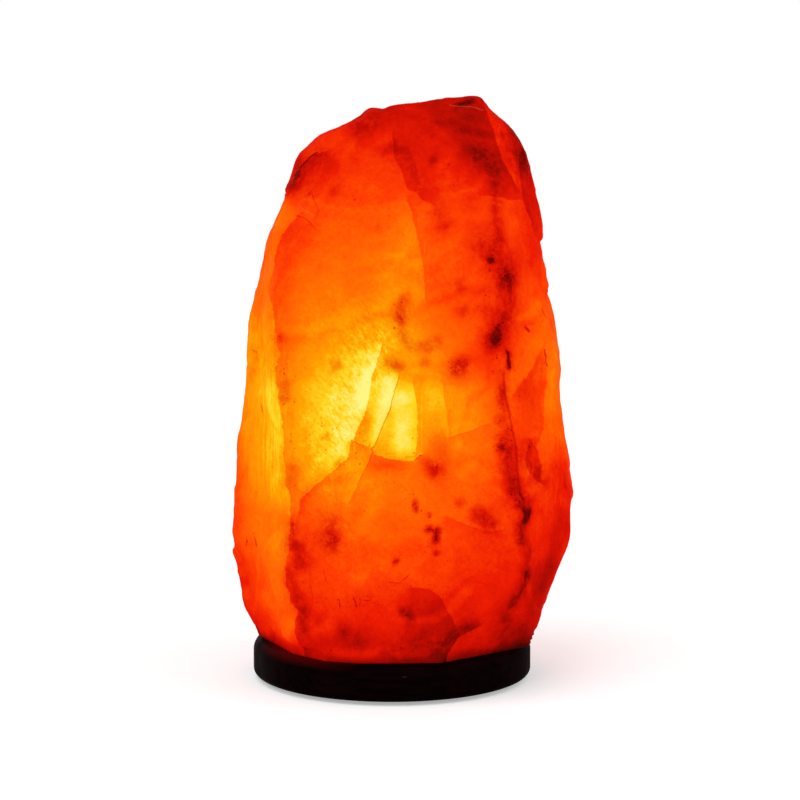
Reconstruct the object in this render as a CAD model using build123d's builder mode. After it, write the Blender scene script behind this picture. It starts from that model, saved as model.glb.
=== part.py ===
"""Salt crystal lamp.

A rough-hewn lump of rock salt is screwed to a round wooden base.  A small bulb lights it from inside, on a
holder that is pushed up through the base and grips the hollow with three spring arms.

Millimetres.  +Z is up and the front faces -Y.  The origin is on the table, under the middle of the lamp.
"""

import os
from math import atan, cos, degrees, radians, sin, sqrt

from build123d import *

os.makedirs("parts", exist_ok=True)

# ---------------------------------------------------------------- fits
slip_fit = 0.05  # radial gap round pins, screws and spigots
running_fit = 0.2  # radial gap round the bulb's cap, which turns
drill_clearance = 0.3  # radial gap round a screw's shank in the hole it only passes through
drill_overrun = 0.5  # how much deeper a blind hole is than what stands in it

# ---------------------------------------------------------------- wooden base
axis_x = -4.5  # the base and the hollow sit a little left of the crystal's middle
base_diameter = 125.0
base_thickness = 17.0
base_top_edge_radius = 6.0
base_bottom_edge_radius = 3.0
base_hole_diameter = 43.0
cord_channel_width = 8.0
cord_channel_depth = 7.0

# ---------------------------------------------------------------- feet
foot_count = 4
foot_diameter = 16.0
foot_thickness = 3.0
foot_proud = 1.5  # how far a foot stands out of its recess
foot_edge_chamfer = 0.8
foot_circle_radius = 47.0
foot_start_angle = 45.0
foot_web = 1.2  # rubber left under the screw's head
foot_well_diameter = 7.0
foot_screw_head_diameter = 5.6
foot_screw_head_height = 1.3
foot_screw_diameter = 2.9
foot_screw_bite = 9.0

# ---------------------------------------------------------------- screws between base and crystal
base_screw_count = 3
base_screw_circle_radius = 34.0
base_screw_start_angle = 30.0
base_screw_diameter = 4.0
base_screw_bite = 22.0  # length of screw inside the crystal
base_screw_point = 4.0
base_screw_head_diameter = 8.0
base_screw_head_height = 3.0
base_screw_head_rounding = 1.2
cross_recess_length = 4.2
cross_recess_width = 1.1
cross_recess_depth = 1.5
counterbore_diameter = 12.0
counterbore_depth = 8.0
washer_diameter = 10.5
washer_thickness = 1.0
plug_diameter = 8.0
plug_floor = 3.0  # closed end of the plug, past the screw's point
plug_slot_width = 1.2

# ---------------------------------------------------------------- crystal
hollow_diameter = 42.0
hollow_head_room = 10.0  # air left over the bulb when it is fully unscrewed
hollow_core_height = 6.0  # low cone that the core drill leaves at the top of the hollow

crystal_width = 153.5
crystal_depth = 135.6
crystal_height = 240.5

# The crystal's outline at its own size, which the three sizes above stretch.  Each level: its height above
# the sawn face; how far it reaches to the left, right, front and back; and where the two upright ridges
# that bound the front face cross it.
crystal_levels = [
    (0.0, -64.5, 60.5, -63.0, 57.0, -42.0, 41.0),
    (12.0, -71.5, 65.0, -64.5, 61.5, -45.0, 43.0),
    (28.0, -74.2, 71.0, -67.0, 65.0, -47.0, 45.0),
    (46.0, -76.6, 75.2, -67.8, 67.0, -47.5, 47.0),
    (64.0, -75.6, 76.9, -67.0, 67.8, -48.0, 46.0),
    (91.0, -73.5, 73.1, -65.5, 66.5, -49.0, 43.0),
    (123.0, -70.2, 69.7, -63.0, 63.0, -51.0, 41.0),
    (147.0, -67.3, 66.9, -60.0, 59.5, -55.0, 41.0),
    (174.0, -60.5, 62.7, -55.5, 54.5, -52.5, 42.0),
    (194.0, -52.4, 60.3, -50.0, 49.0, -46.0, 43.0),
    (211.0, -45.6, 55.8, -43.0, 43.0, -37.5, 42.0),
    (224.5, -31.4, 49.5, -35.0, 36.0, -24.0, 38.0),
    (234.0, -14.6, 41.0, -26.0, 27.0, -8.0, 33.0),
    (240.5, 16.0, 36.0, -13.0, 13.0, 19.0, 31.0),
]

# Flats chiselled on the crystal: the way each one faces, in degrees round from +X and degrees of rise,
# and how far it lies from the crystal's heart.
crystal_heart_share = 0.478  # height of the heart, as a share of the crystal's
chiselled_flats = [
    (52.0, 6.0, 61.5),
    (128.0, 4.0, 61.0),
    (92.0, 28.0, 73.0),
    (150.0, 24.0, 75.5),
    (70.0, 48.0, 104.0),
    (110.0, 60.0, 110.5),
    (100.0, -14.0, 76.0),
    (60.0, -24.0, 94.0),
    (140.0, -22.0, 94.0),
    (-30.0, 0.0, 70.0),
    (-62.0, 4.0, 64.5),
    (-95.0, 30.0, 79.0),
    (-130.0, 34.0, 88.5),
    (-60.0, 30.0, 86.0),
    (-100.0, 52.0, 104.5),
    (-135.0, -28.0, 110.7),
    (-50.0, -24.0, 99.5),
]

# Dishes left where lumps were struck off, all parts of balls of one radius: the way round from +X, the
# height above the sawn face, and how deep the dish is.
dish_ball_radius = 80.0
struck_dishes = [
    # front
    (-109.0, 118.0, 3.0),
    (-120.0, 186.0, 3.0),
    (-84.0, 222.0, 1.5),
    (-58.0, 202.0, 2.5),
    (-64.0, 150.0, 2.5),
    (-65.0, 86.0, 3.0),
    (-94.0, 50.0, 2.5),
    (-60.0, 30.0, 2.0),
    (-34.0, 112.0, 2.0),
    (-26.0, 178.0, 2.0),
    (-30.0, 58.0, 2.5),
    (-150.0, 128.0, 1.2),
    (-150.0, 62.0, 1.5),
    (-160.0, 30.0, 1.5),
    # right side
    (14.0, 34.0, 2.0),
    (12.0, 92.0, 1.5),
    (10.0, 150.0, 2.0),
    (8.0, 205.0, 1.5),
    # left side
    (168.0, 48.0, 2.0),
    (165.0, 96.0, 1.5),
    (160.0, 160.0, 2.0),
    # back
    (36.0, 66.0, 3.0),
    (38.0, 126.0, 2.5),
    (36.0, 178.0, 2.5),
    (62.0, 40.0, 2.5),
    (64.0, 96.0, 3.0),
    (66.0, 152.0, 3.0),
    (70.0, 206.0, 2.0),
    (90.0, 26.0, 2.0),
    (92.0, 68.0, 3.5),
    (92.0, 122.0, 3.0),
    (94.0, 176.0, 2.5),
    (112.0, 214.0, 2.0),
    (118.0, 94.0, 3.0),
    (118.0, 150.0, 3.0),
    (120.0, 40.0, 2.5),
    (140.0, 186.0, 2.5),
    (142.0, 70.0, 3.0),
    (142.0, 124.0, 2.5),
    (146.0, 26.0, 2.0),
]

# ---------------------------------------------------------------- bulb holder
holder_lift = 34.0  # from the top of the base up to the holder's end cap
holder_diameter = 28.0
holder_barrel_length = 22.0
holder_neck_diameter = 22.0
holder_neck_length = 16.0
holder_chamber_diameter = 20.0
holder_spigot_wall = 2.4
septum_thickness = 4.0
grip_flute_count = 18
grip_flute_radius = 0.7

end_cap_floor = 4.0
end_cap_skirt = 8.0
end_cap_rounding = 1.5
inlet_boss_diameter = 13.0
inlet_boss_length = 6.0
cord_inlet_diameter = 6.6

shell_wall = 0.5
shell_length = 19.0
shell_lip_inner_radius = 4.2
shell_rim_recess = 1.0  # how far the shell's rim sits below the holder's

strip_thickness = 0.5  # brass of the centre contact
contact_width = 3.0
contact_height = 2.2
contact_end_gap = 0.7  # between the strip's riveted end and the shell's lip
contact_riser_foot_y = -1.2
contact_riser_top_y = -0.6
contact_pad_end_y = 1.6

rivet_diameter = 1.4
rivet_head_diameter = 1.7
rivet_head_height = 0.4
centre_rivet_y = -2.3
shell_rivet_y = 5.1

plate_thickness = 0.8
live_plate_width = 5.0
live_plate_top_y = 1.2
neutral_plate_left_x = -2.0
neutral_plate_low_y = 3.4
neutral_plate_high_y = 6.9
plate_edge_gap = 0.4  # between the plates' outer edges and the chamber's wall
terminal_screw_diameter = 2.4
terminal_screw_bite = 3.0
terminal_screw_head_diameter = 4.2
terminal_screw_head_height = 1.8
terminal_screw_slot_width = 0.7
terminal_screw_slot_depth = 0.8
live_terminal = (0.0, -6.8)
neutral_terminal = (4.6, 5.1)

ring_nut_height = 7.0
ring_nut_diameter = 29.0

# ---------------------------------------------------------------- spring clip
clip_thickness = 0.6
clip_ring_overhang = 1.0  # how far the ring stands out past the holder's barrel
clip_arm_angles = {"back": 90.0, "left": 210.0, "right": 330.0}
clip_arm_width = 10.0
clip_arm_drop = 26.0  # from the ring down to the arm's tip
clip_knee_drop = 18.0  # from the ring down to the part that grips
clip_tip_draw_in = 2.0  # how far the tip curls back towards the holder
clip_bend_radius = 2.0
clip_grip_gap = 0.3  # between the arms and the wall that they press on

# ---------------------------------------------------------------- bulb
cap_diameter = 11.8
cap_wall = 0.4
cap_length = 15.0
cap_cone_height = 1.6
cap_cone_radius = 4.6
bulb_seat_gap = 0.1  # between the solder tip and the centre contact
solder_tip_height = 1.2
solder_tip_radius = 1.8
insulator_length = 5.0
insulator_foot_radius = 2.6
insulator_nose = 2.5  # how far the insulator stands out under the cap
thread_pitch = 2.54
unscrew_turns = 3.5

glass_diameter = 22.0
glass_wall = 0.6
glass_height = 36.0  # above the cap's rim
glass_widest_height = 14.0
glass_neck_depth = 8.0  # how far the neck reaches down into the cap
glass_neck_gap = 0.1
stem_flare_height = 5.0
stem_diameter = 4.4
stem_height = 6.0  # above the cap's rim
wire_diameter = 0.6
wire_spacing = 2.4
filament_span = 9.0
filament_height = 17.0  # of the filament's two ends above the cap's rim
filament_diameter = 0.6
support_diameter = 0.3

# ---------------------------------------------------------------- heights that follow
base_bottom = foot_proud
base_top = base_bottom + base_thickness
counterbore_top = base_bottom + counterbore_depth
washer_bottom = counterbore_top - washer_thickness

end_cap_bottom = base_top + holder_lift
end_cap_top = end_cap_bottom + end_cap_floor + end_cap_skirt
shoulder = end_cap_top + holder_barrel_length
holder_top = shoulder + holder_neck_length
septum_top = holder_top - shell_rim_recess - shell_length
septum_bottom = septum_top - septum_thickness
plate_bottom = septum_bottom - plate_thickness

solder_tip_bottom = septum_top + contact_height + bulb_seat_gap
insulator_bottom = solder_tip_bottom + solder_tip_height
cap_bottom = insulator_bottom + insulator_nose
cap_rim = cap_bottom + cap_length
bulb_top = cap_rim + glass_height
unscrew_travel = unscrew_turns * thread_pitch
hollow_top = bulb_top + unscrew_travel + hollow_head_room

cap_radius = cap_diameter / 2
shell_inner_radius = cap_radius + running_fit
shell_outer_radius = shell_inner_radius + shell_wall
neck_radius = holder_neck_diameter / 2
barrel_radius = holder_diameter / 2
spigot_radius = holder_chamber_diameter / 2 + holder_spigot_wall

# ---------------------------------------------------------------- planes and axes
lamp_plane = Plane(origin=(axis_x, 0, 0))
lamp_axis = Axis((axis_x, 0, 0), (0, 0, 1))


def upright(angle):
    """The plane that holds the lamp's axis and faces sideways: its x runs outwards, and its y up."""
    across, along = cos(radians(angle)), sin(radians(angle))
    return Plane(origin=(axis_x, 0, 0), x_dir=(across, along, 0), z_dir=(along, -across, 0))


profile_plane = upright(0)


# ================================================================ crystal
def crystal_corners(left, right, front, back, left_ridge, right_ridge):
    """Twelve corners of the crystal at one level, anticlockwise from the front left ridge."""
    middle = (left + right) / 2
    half_width = (right - left) / 2
    return [
        (left_ridge, front * 0.88),
        (left_ridge * 0.4 + middle * 0.6, front),
        (right_ridge * 0.5 + middle * 0.5, front * 0.98),
        (right_ridge, front * 0.85),
        (middle + half_width * 0.93, front * 0.42),
        (right, back * 0.06),
        (middle + half_width * 0.88, back * 0.56),
        (middle + half_width * 0.52, back * 0.93),
        (middle - half_width * 0.06, back),
        (middle - half_width * 0.55, back * 0.88),
        (middle - half_width * 0.91, back * 0.47),
        (left, front * 0.08),
    ]


def dish_middle(rock, turn, height, depth):
    """The middle of the ball that leaves a dish of this depth in the rock."""
    start = Vector(axis_x, 0, base_top + height)
    outwards = Vector(1, 0, 0).rotate(Axis.Z, turn)
    hits = rock.find_intersection_points(Axis(start, outwards))
    struck, facing = max(hits, key=lambda hit: (hit[0] - start).dot(outwards))
    return struck + facing * (dish_ball_radius - depth)


heights, lefts, rights, fronts, backs, *_ = zip(*crystal_levels)
stretch_across = crystal_width / (max(rights) - min(lefts))
stretch_along = crystal_depth / (max(backs) - min(fronts))
stretch_up = crystal_height / max(heights)

with BuildPart() as salt_crystal:
    for height, *reaches in crystal_levels:
        corners = [(x * stretch_across, y * stretch_along) for x, y in crystal_corners(*reaches)]
        with BuildSketch(Plane.XY.offset(base_top + height * stretch_up)):
            with BuildLine():
                Polyline(*corners, close=True)
            make_face()
    loft(ruled=True)
    heart = Vector(0, 0, base_top + crystal_height * crystal_heart_share)
    for turn, rise, reach in chiselled_flats:
        facing = Vector(1, 0, 0).rotate(Axis.Y, -rise).rotate(Axis.Z, turn)
        flat = Plane(origin=heart + facing * reach * stretch_across, z_dir=facing)
        split(bisect_by=flat, keep=Keep.BOTTOM)
    unstruck = salt_crystal.part
    for turn, height, depth in struck_dishes:
        with Locations(dish_middle(unstruck, turn, height * stretch_up, depth * stretch_across)):
            Sphere(dish_ball_radius, mode=Mode.SUBTRACT)
    # the core-drilled hollow, with the low cone that the drill leaves
    with BuildSketch(profile_plane):
        with BuildLine():
            Polyline(
                (0, base_top),
                (hollow_diameter / 2, base_top),
                (hollow_diameter / 2, hollow_top),
                (0, hollow_top + hollow_core_height),
                close=True,
            )
        make_face()
    revolve(axis=lamp_axis, mode=Mode.SUBTRACT)
    # holes for the plugs
    with BuildSketch(lamp_plane.offset(base_top)):
        with PolarLocations(base_screw_circle_radius, base_screw_count, base_screw_start_angle):
            Circle(plug_diameter / 2 + slip_fit)
    extrude(amount=base_screw_bite + plug_floor + drill_overrun, mode=Mode.SUBTRACT)
salt_crystal.part.label = "salt_crystal"
export_step(salt_crystal.part, "parts/salt_crystal.step")

# ================================================================ wooden base
with BuildPart() as wood_base:
    with BuildSketch(lamp_plane.offset(base_bottom)):
        Circle(base_diameter / 2)
    extrude(amount=base_thickness)
    bottom_edge, top_edge = wood_base.edges().filter_by(GeomType.CIRCLE).sort_by(Axis.Z)
    fillet(bottom_edge, base_bottom_edge_radius)
    fillet(top_edge, base_top_edge_radius)
    with BuildSketch(lamp_plane.offset(base_bottom)):
        Circle(base_hole_diameter / 2)
        with PolarLocations(base_screw_circle_radius, base_screw_count, base_screw_start_angle):
            Circle(base_screw_diameter / 2 + drill_clearance)
    extrude(amount=base_thickness, mode=Mode.SUBTRACT)
    with BuildSketch(lamp_plane.offset(base_bottom)):
        with PolarLocations(base_screw_circle_radius, base_screw_count, base_screw_start_angle):
            Circle(counterbore_diameter / 2)
    extrude(amount=counterbore_depth, mode=Mode.SUBTRACT)
    # recesses for the feet, and pilot holes for their screws
    with BuildSketch(lamp_plane.offset(base_bottom)):
        with PolarLocations(foot_circle_radius, foot_count, foot_start_angle):
            Circle(foot_diameter / 2 + slip_fit)
    extrude(amount=foot_thickness - foot_proud, mode=Mode.SUBTRACT)
    with BuildSketch(lamp_plane.offset(base_bottom)):
        with PolarLocations(foot_circle_radius, foot_count, foot_start_angle):
            Circle(foot_screw_diameter / 2 + slip_fit)
    extrude(amount=foot_thickness - foot_proud + foot_screw_bite + drill_overrun, mode=Mode.SUBTRACT)
    # channel for the cord, from the hole out to the back edge
    with BuildSketch(lamp_plane.offset(base_bottom)):
        with Locations((0, base_diameter / 4)):
            Rectangle(cord_channel_width, base_diameter / 2)
    extrude(amount=cord_channel_depth, mode=Mode.SUBTRACT)
wood_base.part.label = "wood_base"
export_step(wood_base.part, "parts/wood_base.step")

# ================================================================ screws, washers and plugs
with BuildPart() as base_screws:
    head_bottom = washer_bottom - base_screw_head_height
    with BuildSketch(lamp_plane.offset(head_bottom)):
        with PolarLocations(base_screw_circle_radius, base_screw_count, base_screw_start_angle):
            Circle(base_screw_head_diameter / 2)
    extrude(amount=base_screw_head_height)
    fillet(base_screws.faces().sort_by(Axis.Z)[:base_screw_count].edges(), base_screw_head_rounding)
    with BuildSketch(lamp_plane.offset(washer_bottom)):
        with PolarLocations(base_screw_circle_radius, base_screw_count, base_screw_start_angle):
            Circle(base_screw_diameter / 2)
    extrude(amount=base_top + base_screw_bite - base_screw_point - washer_bottom)
    with BuildSketch(lamp_plane.offset(base_top + base_screw_bite - base_screw_point)):
        with PolarLocations(base_screw_circle_radius, base_screw_count, base_screw_start_angle):
            Circle(base_screw_diameter / 2)
    extrude(amount=base_screw_point, taper=degrees(atan(base_screw_diameter * 0.45 / base_screw_point)))
    with BuildSketch(lamp_plane.offset(head_bottom)):
        with PolarLocations(base_screw_circle_radius, base_screw_count, base_screw_start_angle):
            Rectangle(cross_recess_length, cross_recess_width)
            Rectangle(cross_recess_width, cross_recess_length)
    extrude(amount=cross_recess_depth, mode=Mode.SUBTRACT)
base_screws.part.label = "base_screws"
export_step(base_screws.part, "parts/base_screws.step")

with BuildPart() as screw_washers:
    with BuildSketch(lamp_plane.offset(washer_bottom)):
        with PolarLocations(base_screw_circle_radius, base_screw_count, base_screw_start_angle):
            Circle(washer_diameter / 2)
            Circle(base_screw_diameter / 2 + slip_fit, mode=Mode.SUBTRACT)
    extrude(amount=washer_thickness)
screw_washers.part.label = "screw_washers"
export_step(screw_washers.part, "parts/screw_washers.step")

with BuildPart() as crystal_plugs:
    plug_length = base_screw_bite + plug_floor
    with BuildSketch(lamp_plane.offset(base_top)):
        with PolarLocations(base_screw_circle_radius, base_screw_count, base_screw_start_angle):
            Circle(plug_diameter / 2)
    extrude(amount=plug_length)
    with BuildSketch(lamp_plane.offset(base_top)):
        with PolarLocations(base_screw_circle_radius, base_screw_count, base_screw_start_angle):
            Circle(base_screw_diameter / 2 + slip_fit)
    extrude(amount=base_screw_bite + drill_overrun, mode=Mode.SUBTRACT)
    # the slot that lets the plug spread, closed at its collar
    with BuildSketch(lamp_plane.offset(base_top + plug_length / 3)):
        with PolarLocations(base_screw_circle_radius, base_screw_count, base_screw_start_angle):
            Rectangle(plug_diameter + 2 * slip_fit, plug_slot_width)
    extrude(amount=plug_length / 2, mode=Mode.SUBTRACT)
crystal_plugs.part.label = "crystal_plugs"
export_step(crystal_plugs.part, "parts/crystal_plugs.step")

# ================================================================ feet
with BuildPart() as rubber_feet:
    with BuildSketch(lamp_plane):
        with PolarLocations(foot_circle_radius, foot_count, foot_start_angle):
            Circle(foot_diameter / 2)
    extrude(amount=foot_thickness)
    chamfer(rubber_feet.faces().sort_by(Axis.Z)[:foot_count].edges(), foot_edge_chamfer)
    with BuildSketch(lamp_plane):
        with PolarLocations(foot_circle_radius, foot_count, foot_start_angle):
            Circle(foot_well_diameter / 2)
    extrude(amount=foot_thickness - foot_web, mode=Mode.SUBTRACT)
    with BuildSketch(lamp_plane):
        with PolarLocations(foot_circle_radius, foot_count, foot_start_angle):
            Circle(foot_screw_diameter / 2 + slip_fit)
    extrude(amount=foot_thickness, mode=Mode.SUBTRACT)
rubber_feet.part.label = "rubber_feet"
export_step(rubber_feet.part, "parts/rubber_feet.step")

with BuildPart() as foot_screws:
    foot_seat = foot_thickness - foot_web
    with BuildSketch(lamp_plane.offset(foot_seat - foot_screw_head_height)):
        with PolarLocations(foot_circle_radius, foot_count, foot_start_angle):
            Circle(foot_screw_head_diameter / 2)
    extrude(amount=foot_screw_head_height)
    with BuildSketch(lamp_plane.offset(foot_seat)):
        with PolarLocations(foot_circle_radius, foot_count, foot_start_angle):
            Circle(foot_screw_diameter / 2)
    extrude(amount=foot_web + foot_screw_bite)
    with BuildSketch(lamp_plane.offset(foot_seat - foot_screw_head_height)):
        with PolarLocations(foot_circle_radius, foot_count, foot_start_angle):
            Rectangle(foot_screw_head_diameter * 0.6, cross_recess_width * 0.6)
            Rectangle(cross_recess_width * 0.6, foot_screw_head_diameter * 0.6)
    extrude(amount=foot_screw_head_height / 2, mode=Mode.SUBTRACT)
foot_screws.part.label = "foot_screws"
export_step(foot_screws.part, "parts/foot_screws.step")

# ================================================================ bulb holder
with BuildPart() as holder_body:
    with BuildSketch(profile_plane):
        with BuildLine():
            Polyline(
                (0, septum_bottom),
                (holder_chamber_diameter / 2, septum_bottom),
                (holder_chamber_diameter / 2, end_cap_bottom + end_cap_floor),
                (spigot_radius, end_cap_bottom + end_cap_floor),
                (spigot_radius, end_cap_top),
                (barrel_radius, end_cap_top),
                (barrel_radius, shoulder),
                (neck_radius, shoulder),
                (neck_radius, holder_top),
                (shell_outer_radius + slip_fit, holder_top),
                (shell_outer_radius + slip_fit, septum_top),
                (0, septum_top),
                close=True,
            )
        make_face()
    revolve(axis=lamp_axis)
    with BuildSketch(lamp_plane.offset(septum_bottom)):
        with Locations((0, centre_rivet_y), (0, shell_rivet_y)):
            Circle(rivet_diameter / 2 + slip_fit)
    extrude(amount=septum_thickness, mode=Mode.SUBTRACT)
    with BuildSketch(lamp_plane.offset(septum_bottom)):
        with Locations(live_terminal, neutral_terminal):
            Circle(terminal_screw_diameter / 2 + slip_fit)
    extrude(amount=terminal_screw_bite + slip_fit, mode=Mode.SUBTRACT)
holder_body.part.label = "holder_body"
export_step(holder_body.part, "parts/holder_body.step")

with BuildPart() as holder_end_cap:
    with BuildSketch(profile_plane):
        with BuildLine():
            Polyline(
                (cord_inlet_diameter / 2, end_cap_bottom - inlet_boss_length),
                (inlet_boss_diameter / 2, end_cap_bottom - inlet_boss_length),
                (inlet_boss_diameter / 2, end_cap_bottom),
                (barrel_radius - end_cap_rounding, end_cap_bottom),
                (barrel_radius, end_cap_bottom + end_cap_rounding),
                (barrel_radius, end_cap_top),
                (spigot_radius + slip_fit, end_cap_top),
                (spigot_radius + slip_fit, end_cap_bottom + end_cap_floor),
                (cord_inlet_diameter / 2, end_cap_bottom + end_cap_floor),
                close=True,
            )
        make_face()
    revolve(axis=lamp_axis)
    with BuildSketch(lamp_plane.offset(end_cap_bottom)):
        with PolarLocations(barrel_radius + grip_flute_radius / 2, grip_flute_count):
            Circle(grip_flute_radius)
    extrude(amount=end_cap_floor + end_cap_skirt, mode=Mode.SUBTRACT)
holder_end_cap.part.label = "holder_end_cap"
export_step(holder_end_cap.part, "parts/holder_end_cap.step")

with BuildPart() as holder_thread_shell:
    with BuildSketch(lamp_plane.offset(septum_top)):
        Circle(shell_outer_radius)
        Circle(shell_lip_inner_radius, mode=Mode.SUBTRACT)
        with Locations((0, shell_rivet_y)):
            Circle(rivet_diameter / 2 + slip_fit, mode=Mode.SUBTRACT)
    extrude(amount=shell_wall)
    with BuildSketch(lamp_plane.offset(septum_top + shell_wall)):
        Circle(shell_outer_radius)
        Circle(shell_inner_radius, mode=Mode.SUBTRACT)
    extrude(amount=shell_length - shell_wall)
holder_thread_shell.part.label = "holder_thread_shell"
export_step(holder_thread_shell.part, "parts/holder_thread_shell.step")

with BuildPart() as centre_contact:
    # a strip that lies under its rivet, rises, and ends in a flat pad on the lamp's axis
    strip_middle = strip_thickness / 2
    with BuildSketch(upright(90)):
        with BuildLine():
            Polyline(
                (-shell_lip_inner_radius + contact_end_gap, septum_top + strip_middle),
                (contact_riser_foot_y, septum_top + strip_middle),
                (contact_riser_top_y, septum_top + contact_height - strip_middle),
                (contact_pad_end_y, septum_top + contact_height - strip_middle),
            )
        trace(line_width=strip_thickness)
    extrude(amount=contact_width / 2, both=True)
    with BuildSketch(lamp_plane.offset(septum_top)):
        with Locations((0, centre_rivet_y)):
            Circle(rivet_diameter / 2 + slip_fit)
    extrude(amount=strip_thickness, mode=Mode.SUBTRACT)
centre_contact.part.label = "centre_contact"
export_step(centre_contact.part, "parts/centre_contact.step")

with BuildPart() as contact_rivets:
    rivet_spots = [(0, centre_rivet_y), (0, shell_rivet_y)]
    with BuildSketch(lamp_plane.offset(plate_bottom)):
        with Locations(*rivet_spots):
            Circle(rivet_diameter / 2)
    extrude(amount=septum_top + strip_thickness - plate_bottom)
    for head_base in (plate_bottom - rivet_head_height, septum_top + strip_thickness):
        with BuildSketch(lamp_plane.offset(head_base)):
            with Locations(*rivet_spots):
                Circle(rivet_head_diameter / 2)
        extrude(amount=rivet_head_height)
contact_rivets.part.label = "contact_rivets"
export_step(contact_rivets.part, "parts/contact_rivets.step")

plate_reach = holder_chamber_diameter / 2 - plate_edge_gap
with BuildPart() as live_terminal_plate:
    with BuildSketch(lamp_plane.offset(plate_bottom)):
        with Locations((0, live_plate_top_y - plate_reach / 2)):
            Rectangle(live_plate_width, plate_reach + live_plate_top_y)
        Circle(plate_reach, mode=Mode.INTERSECT)
        with Locations((0, centre_rivet_y)):
            Circle(rivet_diameter / 2 + slip_fit, mode=Mode.SUBTRACT)
        with Locations(live_terminal):
            Circle(terminal_screw_diameter / 2 + slip_fit, mode=Mode.SUBTRACT)
    extrude(amount=plate_thickness)
live_terminal_plate.part.label = "live_terminal_plate"
export_step(live_terminal_plate.part, "parts/live_terminal_plate.step")

with BuildPart() as neutral_terminal_plate:
    with BuildSketch(lamp_plane.offset(plate_bottom)):
        with Locations((neutral_plate_left_x, neutral_plate_low_y)):
            Rectangle(
                plate_reach - neutral_plate_left_x,
                neutral_plate_high_y - neutral_plate_low_y,
                align=(Align.MIN, Align.MIN),
            )
        Circle(plate_reach, mode=Mode.INTERSECT)
        with Locations((0, shell_rivet_y)):
            Circle(rivet_diameter / 2 + slip_fit, mode=Mode.SUBTRACT)
        with Locations(neutral_terminal):
            Circle(terminal_screw_diameter / 2 + slip_fit, mode=Mode.SUBTRACT)
    extrude(amount=plate_thickness)
neutral_terminal_plate.part.label = "neutral_terminal_plate"
export_step(neutral_terminal_plate.part, "parts/neutral_terminal_plate.step")

with BuildPart() as terminal_screws:
    with BuildSketch(lamp_plane.offset(plate_bottom)):
        with Locations(live_terminal, neutral_terminal):
            Circle(terminal_screw_diameter / 2)
    extrude(amount=plate_thickness + terminal_screw_bite)
    with BuildSketch(lamp_plane.offset(plate_bottom - terminal_screw_head_height)):
        with Locations(live_terminal, neutral_terminal):
            Circle(terminal_screw_head_diameter / 2)
    extrude(amount=terminal_screw_head_height)
    with BuildSketch(lamp_plane.offset(plate_bottom - terminal_screw_head_height)):
        with Locations(live_terminal, neutral_terminal):
            Rectangle(terminal_screw_head_diameter, terminal_screw_slot_width)
    extrude(amount=terminal_screw_slot_depth, mode=Mode.SUBTRACT)
terminal_screws.part.label = "terminal_screws"
export_step(terminal_screws.part, "parts/terminal_screws.step")

# ================================================================ spring clip and its ring nut
with BuildPart() as clip_ring:
    with BuildSketch(lamp_plane.offset(shoulder)):
        Circle(barrel_radius + clip_ring_overhang)
        Circle(neck_radius + slip_fit, mode=Mode.SUBTRACT)
    extrude(amount=clip_thickness)
clip_ring.part.label = "clip_ring"
export_step(clip_ring.part, "parts/clip_ring.step")

with BuildPart() as holder_ring_nut:
    with BuildSketch(lamp_plane.offset(shoulder + clip_thickness)):
        Circle(ring_nut_diameter / 2)
        Circle(neck_radius + slip_fit, mode=Mode.SUBTRACT)
        with PolarLocations(ring_nut_diameter / 2 + grip_flute_radius / 2, grip_flute_count):
            Circle(grip_flute_radius, mode=Mode.SUBTRACT)
    extrude(amount=ring_nut_height)
holder_ring_nut.part.label = "holder_ring_nut"
export_step(holder_ring_nut.part, "parts/holder_ring_nut.step")

# The arms are flat strips, so their corners touch the round wall first.
grip_radius = hollow_diameter / 2 - clip_grip_gap
knee_radius = sqrt(grip_radius**2 - (clip_arm_width / 2) ** 2) - clip_thickness / 2
root_radius = barrel_radius + clip_ring_overhang + slip_fit
for side, angle in clip_arm_angles.items():
    with BuildPart() as clip_arm:
        with BuildSketch(upright(angle)):
            with BuildLine():
                FilletPolyline(
                    (root_radius, shoulder + clip_thickness / 2),
                    (root_radius + clip_bend_radius, shoulder + clip_thickness / 2),
                    (knee_radius, shoulder - clip_knee_drop),
                    (knee_radius - clip_tip_draw_in, shoulder - clip_arm_drop),
                    radius=clip_bend_radius * 0.8,
                )
            trace(line_width=clip_thickness)
        extrude(amount=clip_arm_width / 2, both=True)
    clip_arm.part.label = f"clip_arm_{side}"
    export_step(clip_arm.part, f"parts/clip_arm_{side}.step")

# ================================================================ bulb
with BuildPart() as bulb_cap_contact:
    with BuildSketch(lamp_plane.offset(solder_tip_bottom)):
        Circle(solder_tip_radius)
    extrude(amount=solder_tip_height)
    fillet(bulb_cap_contact.faces().sort_by(Axis.Z)[0].edges(), solder_tip_height * 0.6)
bulb_cap_contact.part.label = "bulb_cap_contact"
export_step(bulb_cap_contact.part, "parts/bulb_cap_contact.step")

cap_inner_radius = cap_radius - cap_wall
cap_cone_top = cap_bottom + cap_cone_height
with BuildPart() as bulb_cap:
    with BuildSketch(profile_plane):
        with BuildLine():
            Polyline(
                (cap_cone_radius, cap_bottom),
                (cap_radius, cap_cone_top),
                (cap_radius, cap_rim),
                (cap_inner_radius, cap_rim),
                (cap_inner_radius, cap_cone_top),
                (cap_cone_radius - cap_wall, cap_bottom),
                close=True,
            )
        make_face()
    revolve(axis=lamp_axis)
bulb_cap.part.label = "bulb_cap"
export_step(bulb_cap.part, "parts/bulb_cap.step")

glass_bottom = cap_rim - glass_neck_depth
glass_neck_radius = cap_inner_radius - glass_neck_gap
stem_top = cap_rim + stem_height
filament_ends = cap_rim + filament_height
insulator_top = insulator_bottom + insulator_length

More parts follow.
